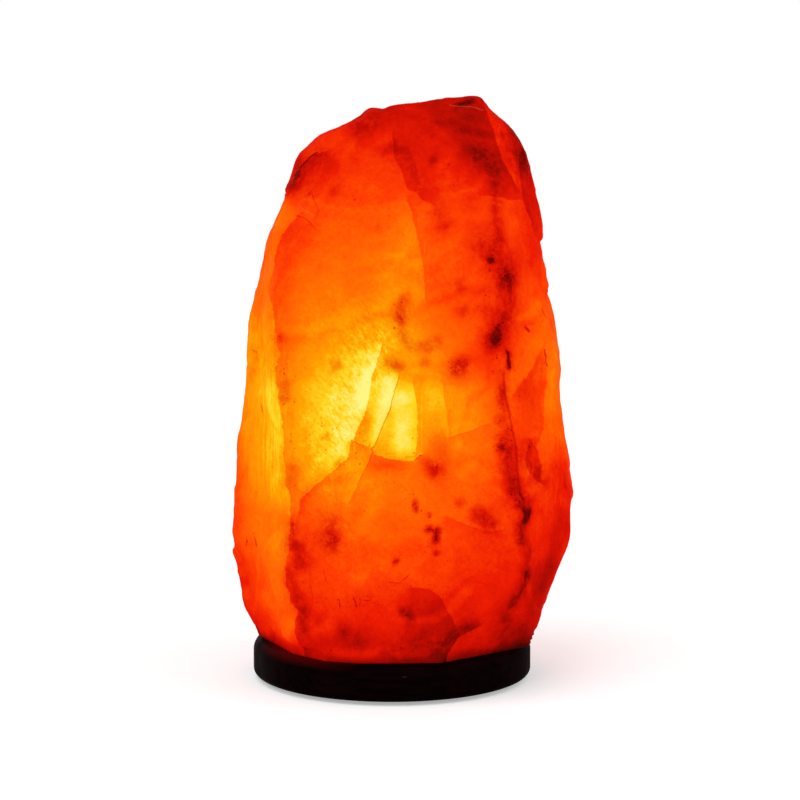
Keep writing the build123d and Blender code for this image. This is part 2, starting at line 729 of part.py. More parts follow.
with BuildPart() as lead_wires:
    for side in (-1, 1):
        with BuildLine(profile_plane):
            FilletPolyline(
                (side * wire_spacing / 2, insulator_top),
                (side * wire_spacing / 2, stem_top + wire_spacing / 2),
                (side * filament_span / 2, filament_ends - filament_span / 2),
                (side * filament_span / 2, filament_ends),
                radius=wire_diameter,
            )
        with BuildSketch(Plane(origin=(axis_x + side * wire_spacing / 2, 0, insulator_top))):
            Circle(wire_diameter / 2)
        sweep()
lead_wires.part.label = "lead_wires"
export_step(lead_wires.part, "parts/lead_wires.step")

with BuildPart() as bulb_cap_insulator:
    with BuildSketch(profile_plane):
        with BuildLine():
            Polyline(
                (0, insulator_bottom),
                (insulator_foot_radius, insulator_bottom),
                (cap_cone_radius - cap_wall - slip_fit, cap_bottom),
                (cap_inner_radius - slip_fit, cap_cone_top),
                (cap_inner_radius - slip_fit, insulator_top),
                (0, insulator_top),
                close=True,
            )
        make_face()
    revolve(axis=lamp_axis)
bulb_cap_insulator.part.label = "bulb_cap_insulator"
export_step(bulb_cap_insulator.part, "parts/bulb_cap_insulator.step")


def glass_outline(skin):
    """The bulb's outline from neck to tip, taken in by skin all round."""
    neck = (glass_neck_radius - skin, cap_rim)
    widest = (glass_diameter / 2 - skin, cap_rim + glass_widest_height)
    tip = (0, bulb_top - skin)
    return neck, widest, tip


with BuildPart() as bulb_glass:
    for skin, mode in ((0, Mode.ADD), (glass_wall, Mode.SUBTRACT)):
        neck, widest, tip = glass_outline(skin)
        with BuildSketch(profile_plane):
            with BuildLine():
                Line((0, glass_bottom), (neck[0], glass_bottom))
                Line((neck[0], glass_bottom), neck)
                Spline(neck, widest, tangents=[(0, 1), (0, 1)])
                Spline(widest, tip, tangents=[(0, 1), (-1, 0)])
                Line(tip, (0, glass_bottom))
            make_face()
        revolve(axis=lamp_axis, mode=mode)
bulb_glass.part.label = "bulb_glass"
export_step(bulb_glass.part, "parts/bulb_glass.step")

with BuildPart() as bulb_stem:
    flare_radius = glass_neck_radius - glass_wall - slip_fit
    with BuildSketch(profile_plane):
        with BuildLine():
            Polyline(
                (0, glass_bottom),
                (flare_radius, glass_bottom),
                (flare_radius, glass_bottom + glass_wall),
                (stem_diameter / 2, glass_bottom + stem_flare_height),
                (stem_diameter / 2, stem_top),
                (0, stem_top),
                close=True,
            )
        make_face()
    revolve(axis=lamp_axis)
    add(lead_wires.part, mode=Mode.SUBTRACT)
bulb_stem.part.label = "bulb_stem"
export_step(bulb_stem.part, "parts/bulb_stem.step")

with BuildPart() as filament:
    with BuildLine(profile_plane):
        ThreePointArc(
            (-filament_span / 2, filament_ends),
            (0, filament_ends + filament_span / 2),
            (filament_span / 2, filament_ends),
        )
    with BuildSketch(Plane(origin=(axis_x - filament_span / 2, 0, filament_ends))):
        Circle(filament_diameter / 2)
    sweep()
filament.part.label = "filament"
export_step(filament.part, "parts/filament.step")

with BuildPart() as filament_support:
    support_top = filament_ends + filament_span / 2 - filament_diameter / 2 - slip_fit
    with BuildSketch(lamp_plane.offset(stem_top)):
        Circle(support_diameter / 2)
    extrude(amount=support_top - stem_top)
filament_support.part.label = "filament_support"
export_step(filament_support.part, "parts/filament_support.step")
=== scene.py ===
"""Looks of the salt crystal lamp.

A lump of rock salt, lit from inside by a small bulb, on a turned and dark-stained wooden base.

Metres, in the lamp's own frame: +Z is up and the front faces -Y.  Marks on the crystal's front are placed by
the pixel of the photograph that they show at.
"""

from math import cos, pi, radians, sin

import bmesh
import bpy
import numpy as np
from mathutils import Matrix, Vector, noise


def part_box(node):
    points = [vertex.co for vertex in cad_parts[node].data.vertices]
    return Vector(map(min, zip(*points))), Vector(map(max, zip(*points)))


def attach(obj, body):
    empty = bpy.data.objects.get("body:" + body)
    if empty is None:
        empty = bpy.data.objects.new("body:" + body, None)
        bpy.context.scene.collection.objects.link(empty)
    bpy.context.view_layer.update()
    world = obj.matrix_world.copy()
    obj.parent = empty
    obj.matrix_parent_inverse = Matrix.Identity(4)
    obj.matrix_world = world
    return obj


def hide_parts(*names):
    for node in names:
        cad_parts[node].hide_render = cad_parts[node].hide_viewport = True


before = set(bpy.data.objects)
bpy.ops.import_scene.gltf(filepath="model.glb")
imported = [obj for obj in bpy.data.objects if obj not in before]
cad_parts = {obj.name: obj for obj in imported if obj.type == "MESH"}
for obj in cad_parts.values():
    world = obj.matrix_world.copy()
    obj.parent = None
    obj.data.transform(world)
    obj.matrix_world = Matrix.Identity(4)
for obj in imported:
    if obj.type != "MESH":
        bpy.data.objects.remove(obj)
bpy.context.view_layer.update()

MM = 0.001

# ======== the photograph's eye
photo_size = 800  # pixels, both ways
focal_pixels = 2019.0
eye = np.array((-0.0009, -0.900, 0.207))
eye_pitch = radians(5.235)  # looks down by this much
eye_forward = np.array((0.0, cos(eye_pitch), -sin(eye_pitch)))
eye_up = np.array((0.0, sin(eye_pitch), cos(eye_pitch)))
eye_right = np.array((1.0, 0.0, 0.0))
pixel_on_front = 0.42 * MM  # what one pixel spans on the crystal's front

# ======== sizes read from the frame
crystal_low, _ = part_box("salt_crystal")
base_low, base_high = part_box("wood_base")
glass_low, glass_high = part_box("bulb_glass")
cap_low, cap_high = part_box("bulb_cap")
shell_low, shell_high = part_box("holder_thread_shell")
filament_low, filament_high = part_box("filament")
axis_x = (base_low.x + base_high.x) / 2  # the base, the hollow and the bulb share this upright axis


# ======== nodes
class Wire:
    """A value on its way between nodes.  Sums done with it make the nodes that do them."""

    def __init__(self, socket):
        self.socket = socket
        self.tree = socket.id_data

    def __add__(self, other):
        return maths("ADD", self, other)

    def __sub__(self, other):
        return maths("SUBTRACT", self, other)

    def __rsub__(self, other):
        return maths("SUBTRACT", other, self)

    def __mul__(self, other):
        return maths("MULTIPLY", self, other)

    def __truediv__(self, other):
        return maths("DIVIDE", self, other)

    def __rtruediv__(self, other):
        return maths("DIVIDE", other, self)


def feed(socket, value):
    """Sets an input to a value, or joins it to the wire that brings one."""
    if isinstance(value, Wire):
        value.tree.links.new(value.socket, socket)
    else:
        socket.default_value = value


def add(tree, kind, inputs=None, **settings):
    """A new node, with its settings and what feeds its inputs.  A short kind is a shader node's."""
    made = tree.nodes.new(kind if "Node" in kind else f"ShaderNode{kind}")
    for name, value in settings.items():
        setattr(made, name, value)
    for name, value in (inputs or {}).items():
        feed(made.inputs[name], value)
    return made


def output_of(tree, kind, output=0, inputs=None, **settings):
    """The wire that leaves a new node."""
    return Wire(add(tree, kind, inputs, **settings).outputs[output])


def maths(operation, *values, clamp=False):
    tree = next(value.tree for value in values if isinstance(value, Wire))
    inputs = dict(enumerate(values))
    return output_of(tree, "Math", 0, inputs, operation=operation, use_clamp=clamp)


def vectors(operation, first, second, output="Vector"):
    """A sum done with two places."""
    return output_of(first.tree, "VectorMath", output, {0: first, 1: second}, operation=operation)


def scaled(place, share):
    return output_of(place.tree, "VectorMath", 0, {0: place, "Scale": share}, operation="SCALE")


def parts_of(place):
    """A place's x, y and z."""
    return [Wire(socket) for socket in add(place.tree, "SeparateXYZ", {"Vector": place}).outputs]


def place_of(tree, x, y, z):
    return output_of(tree, "CombineXYZ", 0, {"X": x, "Y": y, "Z": z})


def blend(share, first, second, mode="MIX"):
    """Two colours mixed by share."""
    first, second = ((*value, 1.0) if isinstance(value, tuple) else value for value in (first, second))
    inputs = {"Factor": share, 6: first, 7: second}
    return output_of(share.tree, "Mix", 2, inputs, data_type="RGBA", blend_type=mode)


def spread(value, low, high, to_low=0.0, to_high=1.0):
    """Value between low and high, eased onto to_low and to_high."""
    inputs = {"Value": value, "From Min": low, "From Max": high, "To Min": to_low, "To Max": to_high}
    return output_of(value.tree, "MapRange", "Result", inputs, interpolation_type="SMOOTHSTEP")


def swing(value, strength):
    """A value that lies about one half, made to swing about 0 by up to half of strength."""
    return (value - 0.5) * strength


def speckle(place, scale, detail=3.0, roughness=0.55, stretch=None):
    """Noise about one half, with lumps of about 1 / scale metres."""
    if stretch is not None:
        place = output_of(place.tree, "Mapping", 0, {"Vector": place, "Scale": stretch})
    inputs = {"Vector": place, "Scale": scale, "Detail": detail, "Roughness": roughness}
    return output_of(place.tree, "TexNoise", "Fac", inputs)


def here(tree):
    """The point on the piece, in metres."""
    return output_of(tree, "TexCoord", "Object")


def painted(tree, name):
    """A value painted on the piece's points."""
    return output_of(tree, "Attribute", "Fac", attribute_name=name)


NUMBER, PLACE = "NodeSocketFloat", "NodeSocketVector"
SHAPE, FINISH = "NodeSocketGeometry", "NodeSocketMaterial"


def new_tree(name, kind, inputs, outputs):
    """An empty node group, with the wires that come into it and the sockets that go out."""
    tree = bpy.data.node_groups.new(name, kind)
    for way, sockets in (("INPUT", inputs), ("OUTPUT", outputs)):
        for label, socket_type in sockets.items():
            tree.interface.new_socket(name=label, in_out=way, socket_type=socket_type)
    given = {socket.name: Wire(socket) for socket in tree.nodes.new("NodeGroupInput").outputs}
    return tree, given, tree.nodes.new("NodeGroupOutput").inputs


def shade_tree(name, sizes, results):
    return new_tree(name, "ShaderNodeTree", {"Place": PLACE, **dict.fromkeys(sizes, NUMBER)},
                    dict.fromkeys(results, NUMBER))


def handling_tree():
    """Blotches and fine grain that handling and age leave on any surface."""
    tree, given, result = shade_tree("Handling marks", ["Blotch Size", "Grain Size"], ["Blotches", "Grain"])
    blotches = speckle(given["Place"], 1.0 / given["Blotch Size"], 4.0, 0.6)
    feed(result["Blotches"], spread(blotches, 0.35, 0.65))
    feed(result["Grain"], speckle(given["Place"], 1.0 / given["Grain Size"], 2.0))
    return tree


def dots_tree():
    """Small scattered dots, such as mineral specks or dust."""
    tree, given, result = shade_tree("Scattered dots", ["Spacing", "Dot Share"], ["Dots"])
    cells = add(tree, "TexVoronoi", {"Vector": given["Place"], "Scale": 1.0 / given["Spacing"]})
    chance = output_of(tree, "SeparateColor", "Red", {"Color": Wire(cells.outputs["Color"])})
    size = given["Dot Share"] * maths("POWER", chance, 3.0)
    feed(result["Dots"], maths("SUBTRACT", 1.0, Wire(cells.outputs["Distance"]) / size, clamp=True))
    return tree


handling_marks = handling_tree()
scattered_dots = dots_tree()


def handling(place, blotch_size, grain_size):
    """The blotches and the grain of the handling marks."""
    inputs = {"Place": place, "Blotch Size": blotch_size, "Grain Size": grain_size}
    marks = add(place.tree, "Group", inputs, node_tree=handling_marks)
    return Wire(marks.outputs["Blotches"]), Wire(marks.outputs["Grain"])


def dots(place, spacing, dot_share):
    inputs = {"Place": place, "Spacing": spacing, "Dot Share": dot_share}
    return output_of(place.tree, "Group", "Dots", inputs, node_tree=scattered_dots)


def finish_of(name, **settings):
    """A material, its shader's inputs and the place on the piece.  Settings go on the shader's sockets."""
    material = bpy.data.materials.new(name)
    material.use_nodes = True
    shader = material.node_tree.nodes["Principled BSDF"].inputs
    for label, value in settings.items():
        shader[label.replace("_", " ")].default_value = value
    return material, shader, here(material.node_tree)


def dress(shader, colour, roughness, height=None, relief=0.0, strength=1.0):
    """Gives a shader its colour, its roughness and the fine relief of its skin, in metres."""
    feed(shader["Base Color"], colour)
    feed(shader["Roughness"], roughness)
    if height is not None:
        inputs = {"Height": height, "Distance": relief, "Strength": strength}
        feed(shader["Normal"], output_of(height.tree, "Bump", "Normal", inputs))


# ======== meshes
def linked(name, mesh):
    piece = bpy.data.objects.new(name, mesh)
    bpy.context.scene.collection.objects.link(piece)
    return piece


def new_piece(name, mesh, body, finish, slot, *replaced):
    """Puts a finished mesh on a body, with its finish, in place of the nodes that it stands for."""
    piece = linked(name, mesh)
    mesh.materials.clear()
    mesh.materials.append(finish)
    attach(piece, body)
    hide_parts(*replaced)


def mesh_from(work, name):
    mesh = bpy.data.meshes.new(name)
    work.to_mesh(mesh)
    work.free()
    return mesh


def joined(name, *meshes):
    """One mesh of several, with doubles merged and no normals of its own."""
    work = bmesh.new()
    for mesh in meshes:
        work.from_mesh(mesh)
    bmesh.ops.remove_doubles(work, verts=work.verts, dist=0.001 * MM)
    mesh = mesh_from(work, name)
    if "custom_normal" in mesh.attributes:
        mesh.attributes.remove(mesh.attributes["custom_normal"])
    return mesh


def merged_copy(node):
    """A copy of a node's mesh, with its loose triangles joined."""
    return joined(node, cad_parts[node].data)


def lathed(name, outline, steps=72, solid=True):
    """A mesh turned about the lamp's axis from (radius, height) points, closed where it meets the axis."""
    work = bmesh.new()
    rings = []
    turns = [(cos(2 * pi * step / steps), sin(2 * pi * step / steps)) for step in range(steps)]
    for radius, height in outline:
        if radius < 0.01 * MM:
            rings.append([work.verts.new((axis_x, 0.0, height))] * steps)
        else:
            rings.append([work.verts.new((axis_x + radius * x, radius * y, height)) for x, y in turns])
    for lower, upper in zip(rings, rings[1:]):
        for step in range(steps):
            after = (step + 1) % steps
            corners = dict.fromkeys((lower[step], lower[after], upper[after], upper[step]))
            if len(corners) > 2:
                work.faces.new(corners)
    if solid:
        bmesh.ops.recalc_face_normals(work, faces=work.faces)
    return mesh_from(work, name)


def smooth(mesh, sharp_degrees=35.0):
    """Shades a mesh smooth, apart from the edges that turn by more than this."""
    mesh.shade_smooth()
    mesh.set_sharp_from_angle(angle=radians(sharp_degrees))
    return mesh


def evaluated(piece):
    """The mesh that a piece's modifiers give, with the piece itself removed."""
    seen = piece.evaluated_get(bpy.context.evaluated_depsgraph_get())
    mesh = bpy.data.meshes.new_from_object(seen)
    bpy.data.objects.remove(piece)
    return mesh


def read_points(mesh, what="co"):
    values = np.empty(len(mesh.vertices) * 3, np.float32)
    mesh.vertices.foreach_get(what, values)
    return values.reshape(-1, 3).astype(float)


def paint(mesh, name, values):
    layer = mesh.attributes.new(name, "FLOAT", "POINT")
    layer.data.foreach_set("value", values.astype(np.float32))


def averaging(mesh):
    """A function that averages values over each point's neighbours, once or a few times over."""
    edges = np.empty(len(mesh.edges) * 2, np.int32)
    mesh.edges.foreach_get("vertices", edges)
    first, second = edges.reshape(-1, 2).T
    count = np.bincount(edges, minlength=len(mesh.vertices)).clip(1)

    def average(values, times=1):
        for _ in range(times):
            total = np.zeros_like(values)
            np.add.at(total, first, values[second])
            np.add.at(total, second, values[first])
            values = total / (count[:, None] if values.ndim == 2 else count)
        return values

    return average


def lumps(points, size, seed, octaves=2):
    """Smooth noise between about -1 and 1, with lumps of about this size in metres."""
    start = Vector((seed * 11.3, seed * 5.1, seed * 3.7))
    return np.array([noise.fractal(Vector(p) / size + start, 1.0, 2.0, octaves) for p in points])


def ease(values, low, high):
    """0 at low, 1 at high, and smooth between them."""
    share = np.clip((values - low) / (high - low), 0.0, 1.0)
    return share * share * (3.0 - 2.0 * share)


def fading(gap, reach):
    """1 on a path, and fading out about this many millimetres from it."""
    return np.exp(-(gap / (reach * MM)) ** 2)


# ======== marks on the crystal
# Paths are in pixels on the front map and in metres on the round map, and reaches and widths are in
# millimetres.  Left and right are the picture's for a path that runs down; for one that runs to the right,
# left is below it.
def drawn(table):
    """Marks from a table.  A mark is a path, as the x,y of its points, and after the bar its numbers."""
    marks, spots = [], []
    for row in table.splitlines():
        if row.startswith("#"):
            continue
        path, bar, numbers = row.partition("|")
        spots += [tuple(map(float, spot.split(","))) for spot in path.split()]
        if bar:
            marks.append((spots, *map(float, numbers.split())))
            spots = []
    return marks


# painted glow, the bulb's light through the salt, that fades away from its path: reach, lift
# the brightest streaks of the slab over the bulb, and the piece beside it
front_glows = drawn("""
# the hottest streaks of the slab over the bulb, and the piece beside it
380,352 366,388 350,420 340,452 | 5 0.07
368,392 362,404 | 3 0.05
372,350 334,400 318,450 | 15 0.1
390,374 384,404 376,436 | 4.5 0.14
366,424 | 4 -0.08
402,400 401,440 | 5.5 0.15
376,345 | 4 -0.08
410,400 405,450 | 9 0.06
432,395 440,425 | 6 0.08
470,400 472,425 | 7 0.05
# between the bright slabs and the red above them
404,238 410,285 | 8 0.07
380,270 396,330 | 7 0.04
410,340 430,344 | 6 0.06
376,402 374,424 | 4 0.06
440,300 480,310 | 14 -0.06
392,366 | 3.5 -0.1
380,462 402,466 | 4 -0.1
440,420 438,470 | 4.5 -0.1
360,470 366,496 | 6 0.06
# the left band
276,390 274,440 278,490 | 4.5 0.09
262,300 260,350 | 8 -0.03
250,330 248,440 258,600 | 8 0.06
290,240 283,300 288,350 | 6 -0.05
300,470 306,560 | 6 -0.05
278,540 280,580 288,625 | 6 0.09
262,600 270,630 | 5 0.06
264,250 280,228 | 5 0.05
238,440 236,520 | 4 -0.05
408,470 | 4 0.05
# the right side
505,250 512,330 | 9 -0.02
525,290 535,330 536,372 | 7 0.07
495,346 488,366 | 8 -0.09
470,352 | 10 -0.05
446,398 450,440 | 9 0.07
536,468 | 8 0.09
538,400 544,440 | 6 0.04
500,350 515,400 520,440 | 10 -0.02
530,400 528,430 | 6 -0.02
554,350 556,410 | 4 0.07
525,470 515,490 | 9 -0.08
560,470 566,520 | 6 -0.1
554,540 548,590 | 6 -0.09
550,306 556,400 | 5 0.06
564,432 | 4 0.07
566,505 | 4 0.07
536,466 | 5 0.05
522,642 | 4 -0.08
526,560 522,610 | 8 0.03
536,196 540,240 | 5 -0.02
505,240 512,205 | 9 0.06
# the top
396,120 430,185 | 30 0.06
368,117 | 5 0.05
392,104 | 4 -0.07
452,100 472,104 | 5 0.06
334,136 318,152 306,172 | 7 0.07
490,112 500,140 | 6 0.06
352,126 352,136 | 5 0.05
286,214 300,200 | 6 0.05
415,172 424,205 | 6 0.05
420,150 424,185 | 7 -0.06
480,100 | 3 0.08
# the foot
304,639 368,639 | 4.5 -0.06
310,657 400,660 | 4 0.07
296,628 330,628 | 5 0.07
532,606 | 6 -0.08
438,644 | 5 0.05
""")

# the edges of broken layers, with painted glow that differs on either side: left lift, left reach, right
# lift, right reach, step in millimetres
front_breaks = drawn("""
# the upright ridge that bounds the front on the left
299,219 290,230 281,246 272,266 266,290 273,308 278,338 277,370 280,398 284,420 284,450 286,480
288,500 287,550 288,582 289,601 300,610 296,620 296,634 302,648 304,656 | 0.06 12 -0.06 7 0.5
# the stroke at the top left where a thin layer has come away
326,154 316,159 304,169 297,178 288,196 | 0.05 4 -0.1 6 -0.5
# the tongue of a thicker layer at the top
392,136 394,156 402,168 404,178 408,188 416,190 422,197 432,202 | 0.03 8 -0.06 9 -0.4
411,150 417,168 420,186 | -0.03 4 0.03 6 0.1
# the upright step in the upper middle
408,200 414,220 420,246 424,270 425,296 | 0.05 14 -0.05 12 0.3
# the right edge of the bright slab over the bulb, and then its lower edge
382,346 374,370 368,394 366,410 358,426 350,444 347,458 338,466 328,474 307,492 299,500 296,512
| 0.09 9 -0.06 8 0.5
# the crack beside it
399,376 390,410 378,438 373,450 368,464 358,482 350,500 | 0.05 5 -0.04 5 0.3
# the lower edges of the bright pieces
352,441 360,445 372,450 | -0.1 6 0.04 6 0
374,455 390,459 412,461 420,455 | -0.1 7 0.09 5 0.3
# the right edge of the second bright piece, and the upright edge beyond it
414,384 417,400 417,440 415,460 | 0.07 5 -0.04 6 0.2
443,384 446,410 448,438 | 0.04 5 -0.05 6 0.2
# a layer that ends in a slanting line
448,437 470,432 490,424 | -0.04 7 0.04 6 0.2
# the band at the upper right
485,104 490,124 496,140 502,158 510,172 520,186 | -0.05 7 0.09 6 -0.5
510,128 516,142 520,164 524,186 528,208 536,234 | 0.03 5 -0.08 5 0.1
484,198 500,198 522,199 | 0.05 8 -0.04 5 0.2
# the lighter wedge right of the vein, and the darker three-cornered chip beside it
538,348 532,368 526,380 517,391 | 0.03 6 -0.05 6 0.2
538,350 542,366 546,390 546,430 540,444 | -0.03 6 0.05 6 0.2
# the leaf
533,440 529,450 527,460 532,472 542,485 | 0.03 3 -0.07 3 0.1
533,440 540,450 543,464 543,484 | -0.07 3 0.03 3 -0.1
# the foot: a fold of darker salt, and the arc above it
414,588 430,590 442,600 450,614 454,626 | -0.06 8 0.04 8 -0.3
478,626 460,637 452,652 447,662 | -0.1 6 0.05 7 -0.5
448,516 470,526 486,531 500,529 | -0.04 8 0.03 6 0.2
# the fold down the lower right
528,548 528,570 524,586 518,598 509,607 | -0.03 6 0.04 5 0.4
""")

# fine lines: dark cracks, and pale painted glints where the depth is below 0: width, depth
front_cracks_and_glints = drawn("""
320,156 306,167 298,177 | 0.5 0.5
299,160 294,172 287,194 | 0.6 0.5
306,200 311,193 316,204 319,212 317,218 | 0.4 0.18
298,218 308,221 316,228 | 0.4 0.18
301,206 306,213 314,216 | 0.3 -0.06
450,103 466,107 483,110 | 0.3 -0.08
456,101 472,103 | 0.3 0.3
399,376 390,410 378,438 373,450 | 0.45 0.34
373,450 368,464 358,482 | 0.35 0.25
354,442 364,446 373,450 | 0.4 0.4
448,437 470,432 488,425 | 0.35 0.1
508,351 510,360 512,369 | 1.1 0.7
506,372 507,392 513,416 516,436 519,470 522,500 | 1 0.22
540,350 541,358 543,366 | 0.5 0.45
538,308 541,317 | 0.5 0.35
526,326 528,331 | 0.6 0.5
563,474 565,490 | 0.5 0.3
259,404 260,412 | 0.45 0.5
256,349 258,353 | 0.4 0.25
244,540 244,547 | 0.4 0.35
252,537 254,547 | 0.4 0.4
310,568 312,586 312,602 308,618 | 0.4 0.1
322,570 326,581 | 0.4 0.25
340,598 341,606 | 0.5 0.3
354,598 356,605 | 0.6 0.35
362,601 370,600 | 0.4 0.25
391,583 400,583 | 0.4 0.25
402,583 409,574 | 0.4 0.25
528,552 528,572 524,586 518,598 509,607 | 0.6 0.08
""")

# dirt in the salt: reach, depth
front_stains = drawn("""
# top left
322,158 308,172 298,188 | 4 0.38
302,162 290,190 | 3 0.55
356,120 372,118 | 5 0.35
358,136 | 4 0.25
384,152 391,145 | 2.2 0.2
378,226 | 2.5 0.2
333,190 | 2.5 0.25
# the tongue
400,145 412,170 424,188 | 5 0.22
433,160 | 1.8 0.5
438,210 446,226 | 4 0.25
# top right
440,112 470,118 | 7 0.2
458,104 474,101 | 1.6 0.5
472,148 488,160 494,170 | 6 0.36
478,152 490,164 | 3.5 0.15
512,132 520,150 527,168 | 3 0.5
494,186 495,210 498,238 | 2.8 0.4
484,246 500,262 508,274 | 6 0.45
489,261 | 1.4 0.9
# the vein
506,280 509,300 505,320 497,338 | 5 0.48
500,326 496,342 | 4 0.32
496,341 | 2.5 0.25
509,354 511,366 | 1.6 0.6
505,390 503,402 | 2.5 0.4
502,420 | 2.2 0.45
502,447 | 2 0.6
505,440 508,466 514,486 520,504 | 3.4 0.5
525,512 523,519 | 1.8 0.85
519,526 520,540 | 2.6 0.65
504,374 506,400 511,430 516,460 522,500 | 2.6 0.22
526,552 528,575 | 3 0.3
527,576 520,592 511,603 | 2.6 0.5
504,616 | 3.5 0.4
# the leaf, and the dark chip above it
531,446 535,462 539,480 | 3 0.28
526,458 540,470 | 3.5 0.25
538,360 532,376 524,392 | 3 0.16
530,400 535,420 | 5 0.12
# spots on the upper right of the front
464,311 | 3.2 0.35
461,285 | 2.8 0.3
486,310 | 3 0.25
458,369 | 4.2 0.65
466,362 | 3 0.35
424,362 | 2 0.4
# the broken loop in the middle
404,301 400,316 | 3 0.42
400,318 402,334 410,344 424,347 438,341 | 2.8 0.42
390,364 400,367 | 3.2 0.5
# round the bright pieces
335,366 | 2.6 0.45
280,337 | 2.2 0.38
284,386 285,398 | 2.4 0.55
290,468 291,480 | 2.6 0.3
338,464 | 1.6 0.55
326,436 | 1.4 0.4
429,465 434,473 | 3 0.5
440,440 446,474 | 4 0.15
# the lower left
290,526 291,545 | 3 0.42
297,552 300,562 | 3.8 0.4
290,575 296,602 | 3.5 0.35
330,524 326,538 | 4.6 0.48
334,540 332,548 | 3 0.35
304,612 304,628 | 2.6 0.5
318,620 | 2.4 0.3
344,630 | 3.6 0.4
358,641 | 4 0.35
# the lower middle
415,503 415,509 | 1.3 0.8
429,530 437,531 436,540 | 1.8 0.85
437,553 | 1.2 0.9
396,562 | 1.4 0.7
429,515 | 0.9 0.9
404,613 411,618 | 2 0.55
412,606 432,612 | 8 0.14
478,514 488,522 | 4 0.55
459,503 | 2 0.4
466,627 450,637 437,650 | 4 0.36
424,640 396,655 | 6 0.3
500,640 520,628 | 5 0.25
552,566 546,584 | 4 0.18
""")

# grains of darker mineral: reach, density
front_grit = drawn("""
404,302 397,320 404,338 424,346 | 3.5 1
452,366 464,366 | 3.5 1
424,452 430,466 446,475 | 4 1
414,500 430,520 436,552 | 5 0.6
340,600 390,600 | 7 0.4
310,420 345,440 | 9 0.6
348,470 394,474 | 5 0.5
490,255 500,350 520,520 | 7 0.5
280,330 286,400 292,480 | 4 0.6
320,536 300,560 | 8 0.4
""")

# upright streaks: reach, strength
front_upright = drawn("""
264,320 268,400 272,480 | 8 1
500,130 512,165 | 6 0.9
545,380 552,450 555,520 | 7 0.4
""")

# slanting streaks: reach, strength
front_slanting = drawn("""
378,345 345,400 325,450 | 13 1
330,335 372,330 | 10 0.5
300,505 330,510 345,530 | 9 0.5
""")

# where the outline stands out, or falls back below 0: reach, rise in millimetres
front_swells = drawn("""
316,142 306,154 | 7 3
284,202 270,236 | 9 1.8
254,268 250,350 | 12 0.5
236,455 234,530 | 12 0.8
237,570 246,604 256,626 | 8 -1.6
318,135 | 3 0.7
370,108 | 3 0.9
384,108 | 2.5 -0.9
428,97 452,94 | 8 -1.6
490,103 | 5 -1.4
514,132 518,148 | 7 2.6
540,224 542,250 | 8 0.8
554,322 557,362 | 11 2.7
568,530 567,538 | 6 1.6
556,578 546,608 | 8 -1.6
530,637 | 5 -2
""")


def front_map(points, normals, ragged):
    """The crystal's front as the eye sees it, with the listed marks made a little ragged."""
    offset = points - eye
    depth = offset @ eye_forward
    across = photo_size / 2 + focal_pixels * (offset @ eye_right) / depth
    down = photo_size / 2 - focal_pixels * (offset @ eye_up) / depth
    spots = np.column_stack((across, down)) + ragged / pixel_on_front
    facing = -(offset * normals).sum(1) / np.linalg.norm(offset, axis=1)
    fade_from, fade_to = 0.002, 0.028  # metres behind the crystal's middle
    edge_on, turned_to_eye = -0.10, 0.26
    counts = (1.0 - ease(points[:, 1], fade_from, fade_to)) * ease(facing, edge_on, turned_to_eye)
    return Map(spots, pixel_on_front, counts)


def round_map(points, ragged):
    """The sides and the back, unrolled: metres round from the back's middle line, and height."""
    turned = np.arctan2(points[:, 0] - axis_x, points[:, 1])
    mean_radius = 0.066
    spots = np.column_stack((-turned * mean_radius, -points[:, 2])) + ragged
    starts, counts_fully = -0.004, 0.022  # metres behind the crystal's middle
    return Map(spots, 1.0, ease(points[:, 1], starts, counts_fully))


class Map:
    """A flat map of part of the crystal's surface, with how far it counts at each point."""

    def __init__(self, spots, unit, counts):
        self.spots = spots
        self.unit = unit  # metres
        self.counts = counts

    def to_path(self, path):
        """Metres from each point to a path, more than 0 on its left, and metres past the path's ends."""
        path = [np.array(spot) for spot in path]
        if len(path) == 1:
            away = np.hypot(*(self.spots - path[0]).T) * self.unit
            return away, np.zeros(len(away))
        nearest = np.full(len(self.spots), np.inf)
        side = np.ones(len(self.spots))
        past = np.zeros(len(self.spots))
        for place, (start, end) in enumerate(zip(path, path[1:])):
            run = end - start
            length = np.hypot(*run)
            along = (self.spots - start) @ run / length
            gap = self.spots - start - np.clip(along / length, 0.0, 1.0)[:, None] * run
            away = np.hypot(*gap.T)
            closer = away < nearest
            nearest[closer] = away[closer]
            side[closer] = np.sign(run[0] * gap[:, 1] - run[1] * gap[:, 0])[closer]
            before = -along if place == 0 else np.zeros(len(along))
            after = along - length if place == len(path) - 2 else np.zeros(len(along))
            past[closer] = np.clip(np.maximum(before, after), 0.0, None)[closer]
        return nearest * side * self.unit, past * self.unit


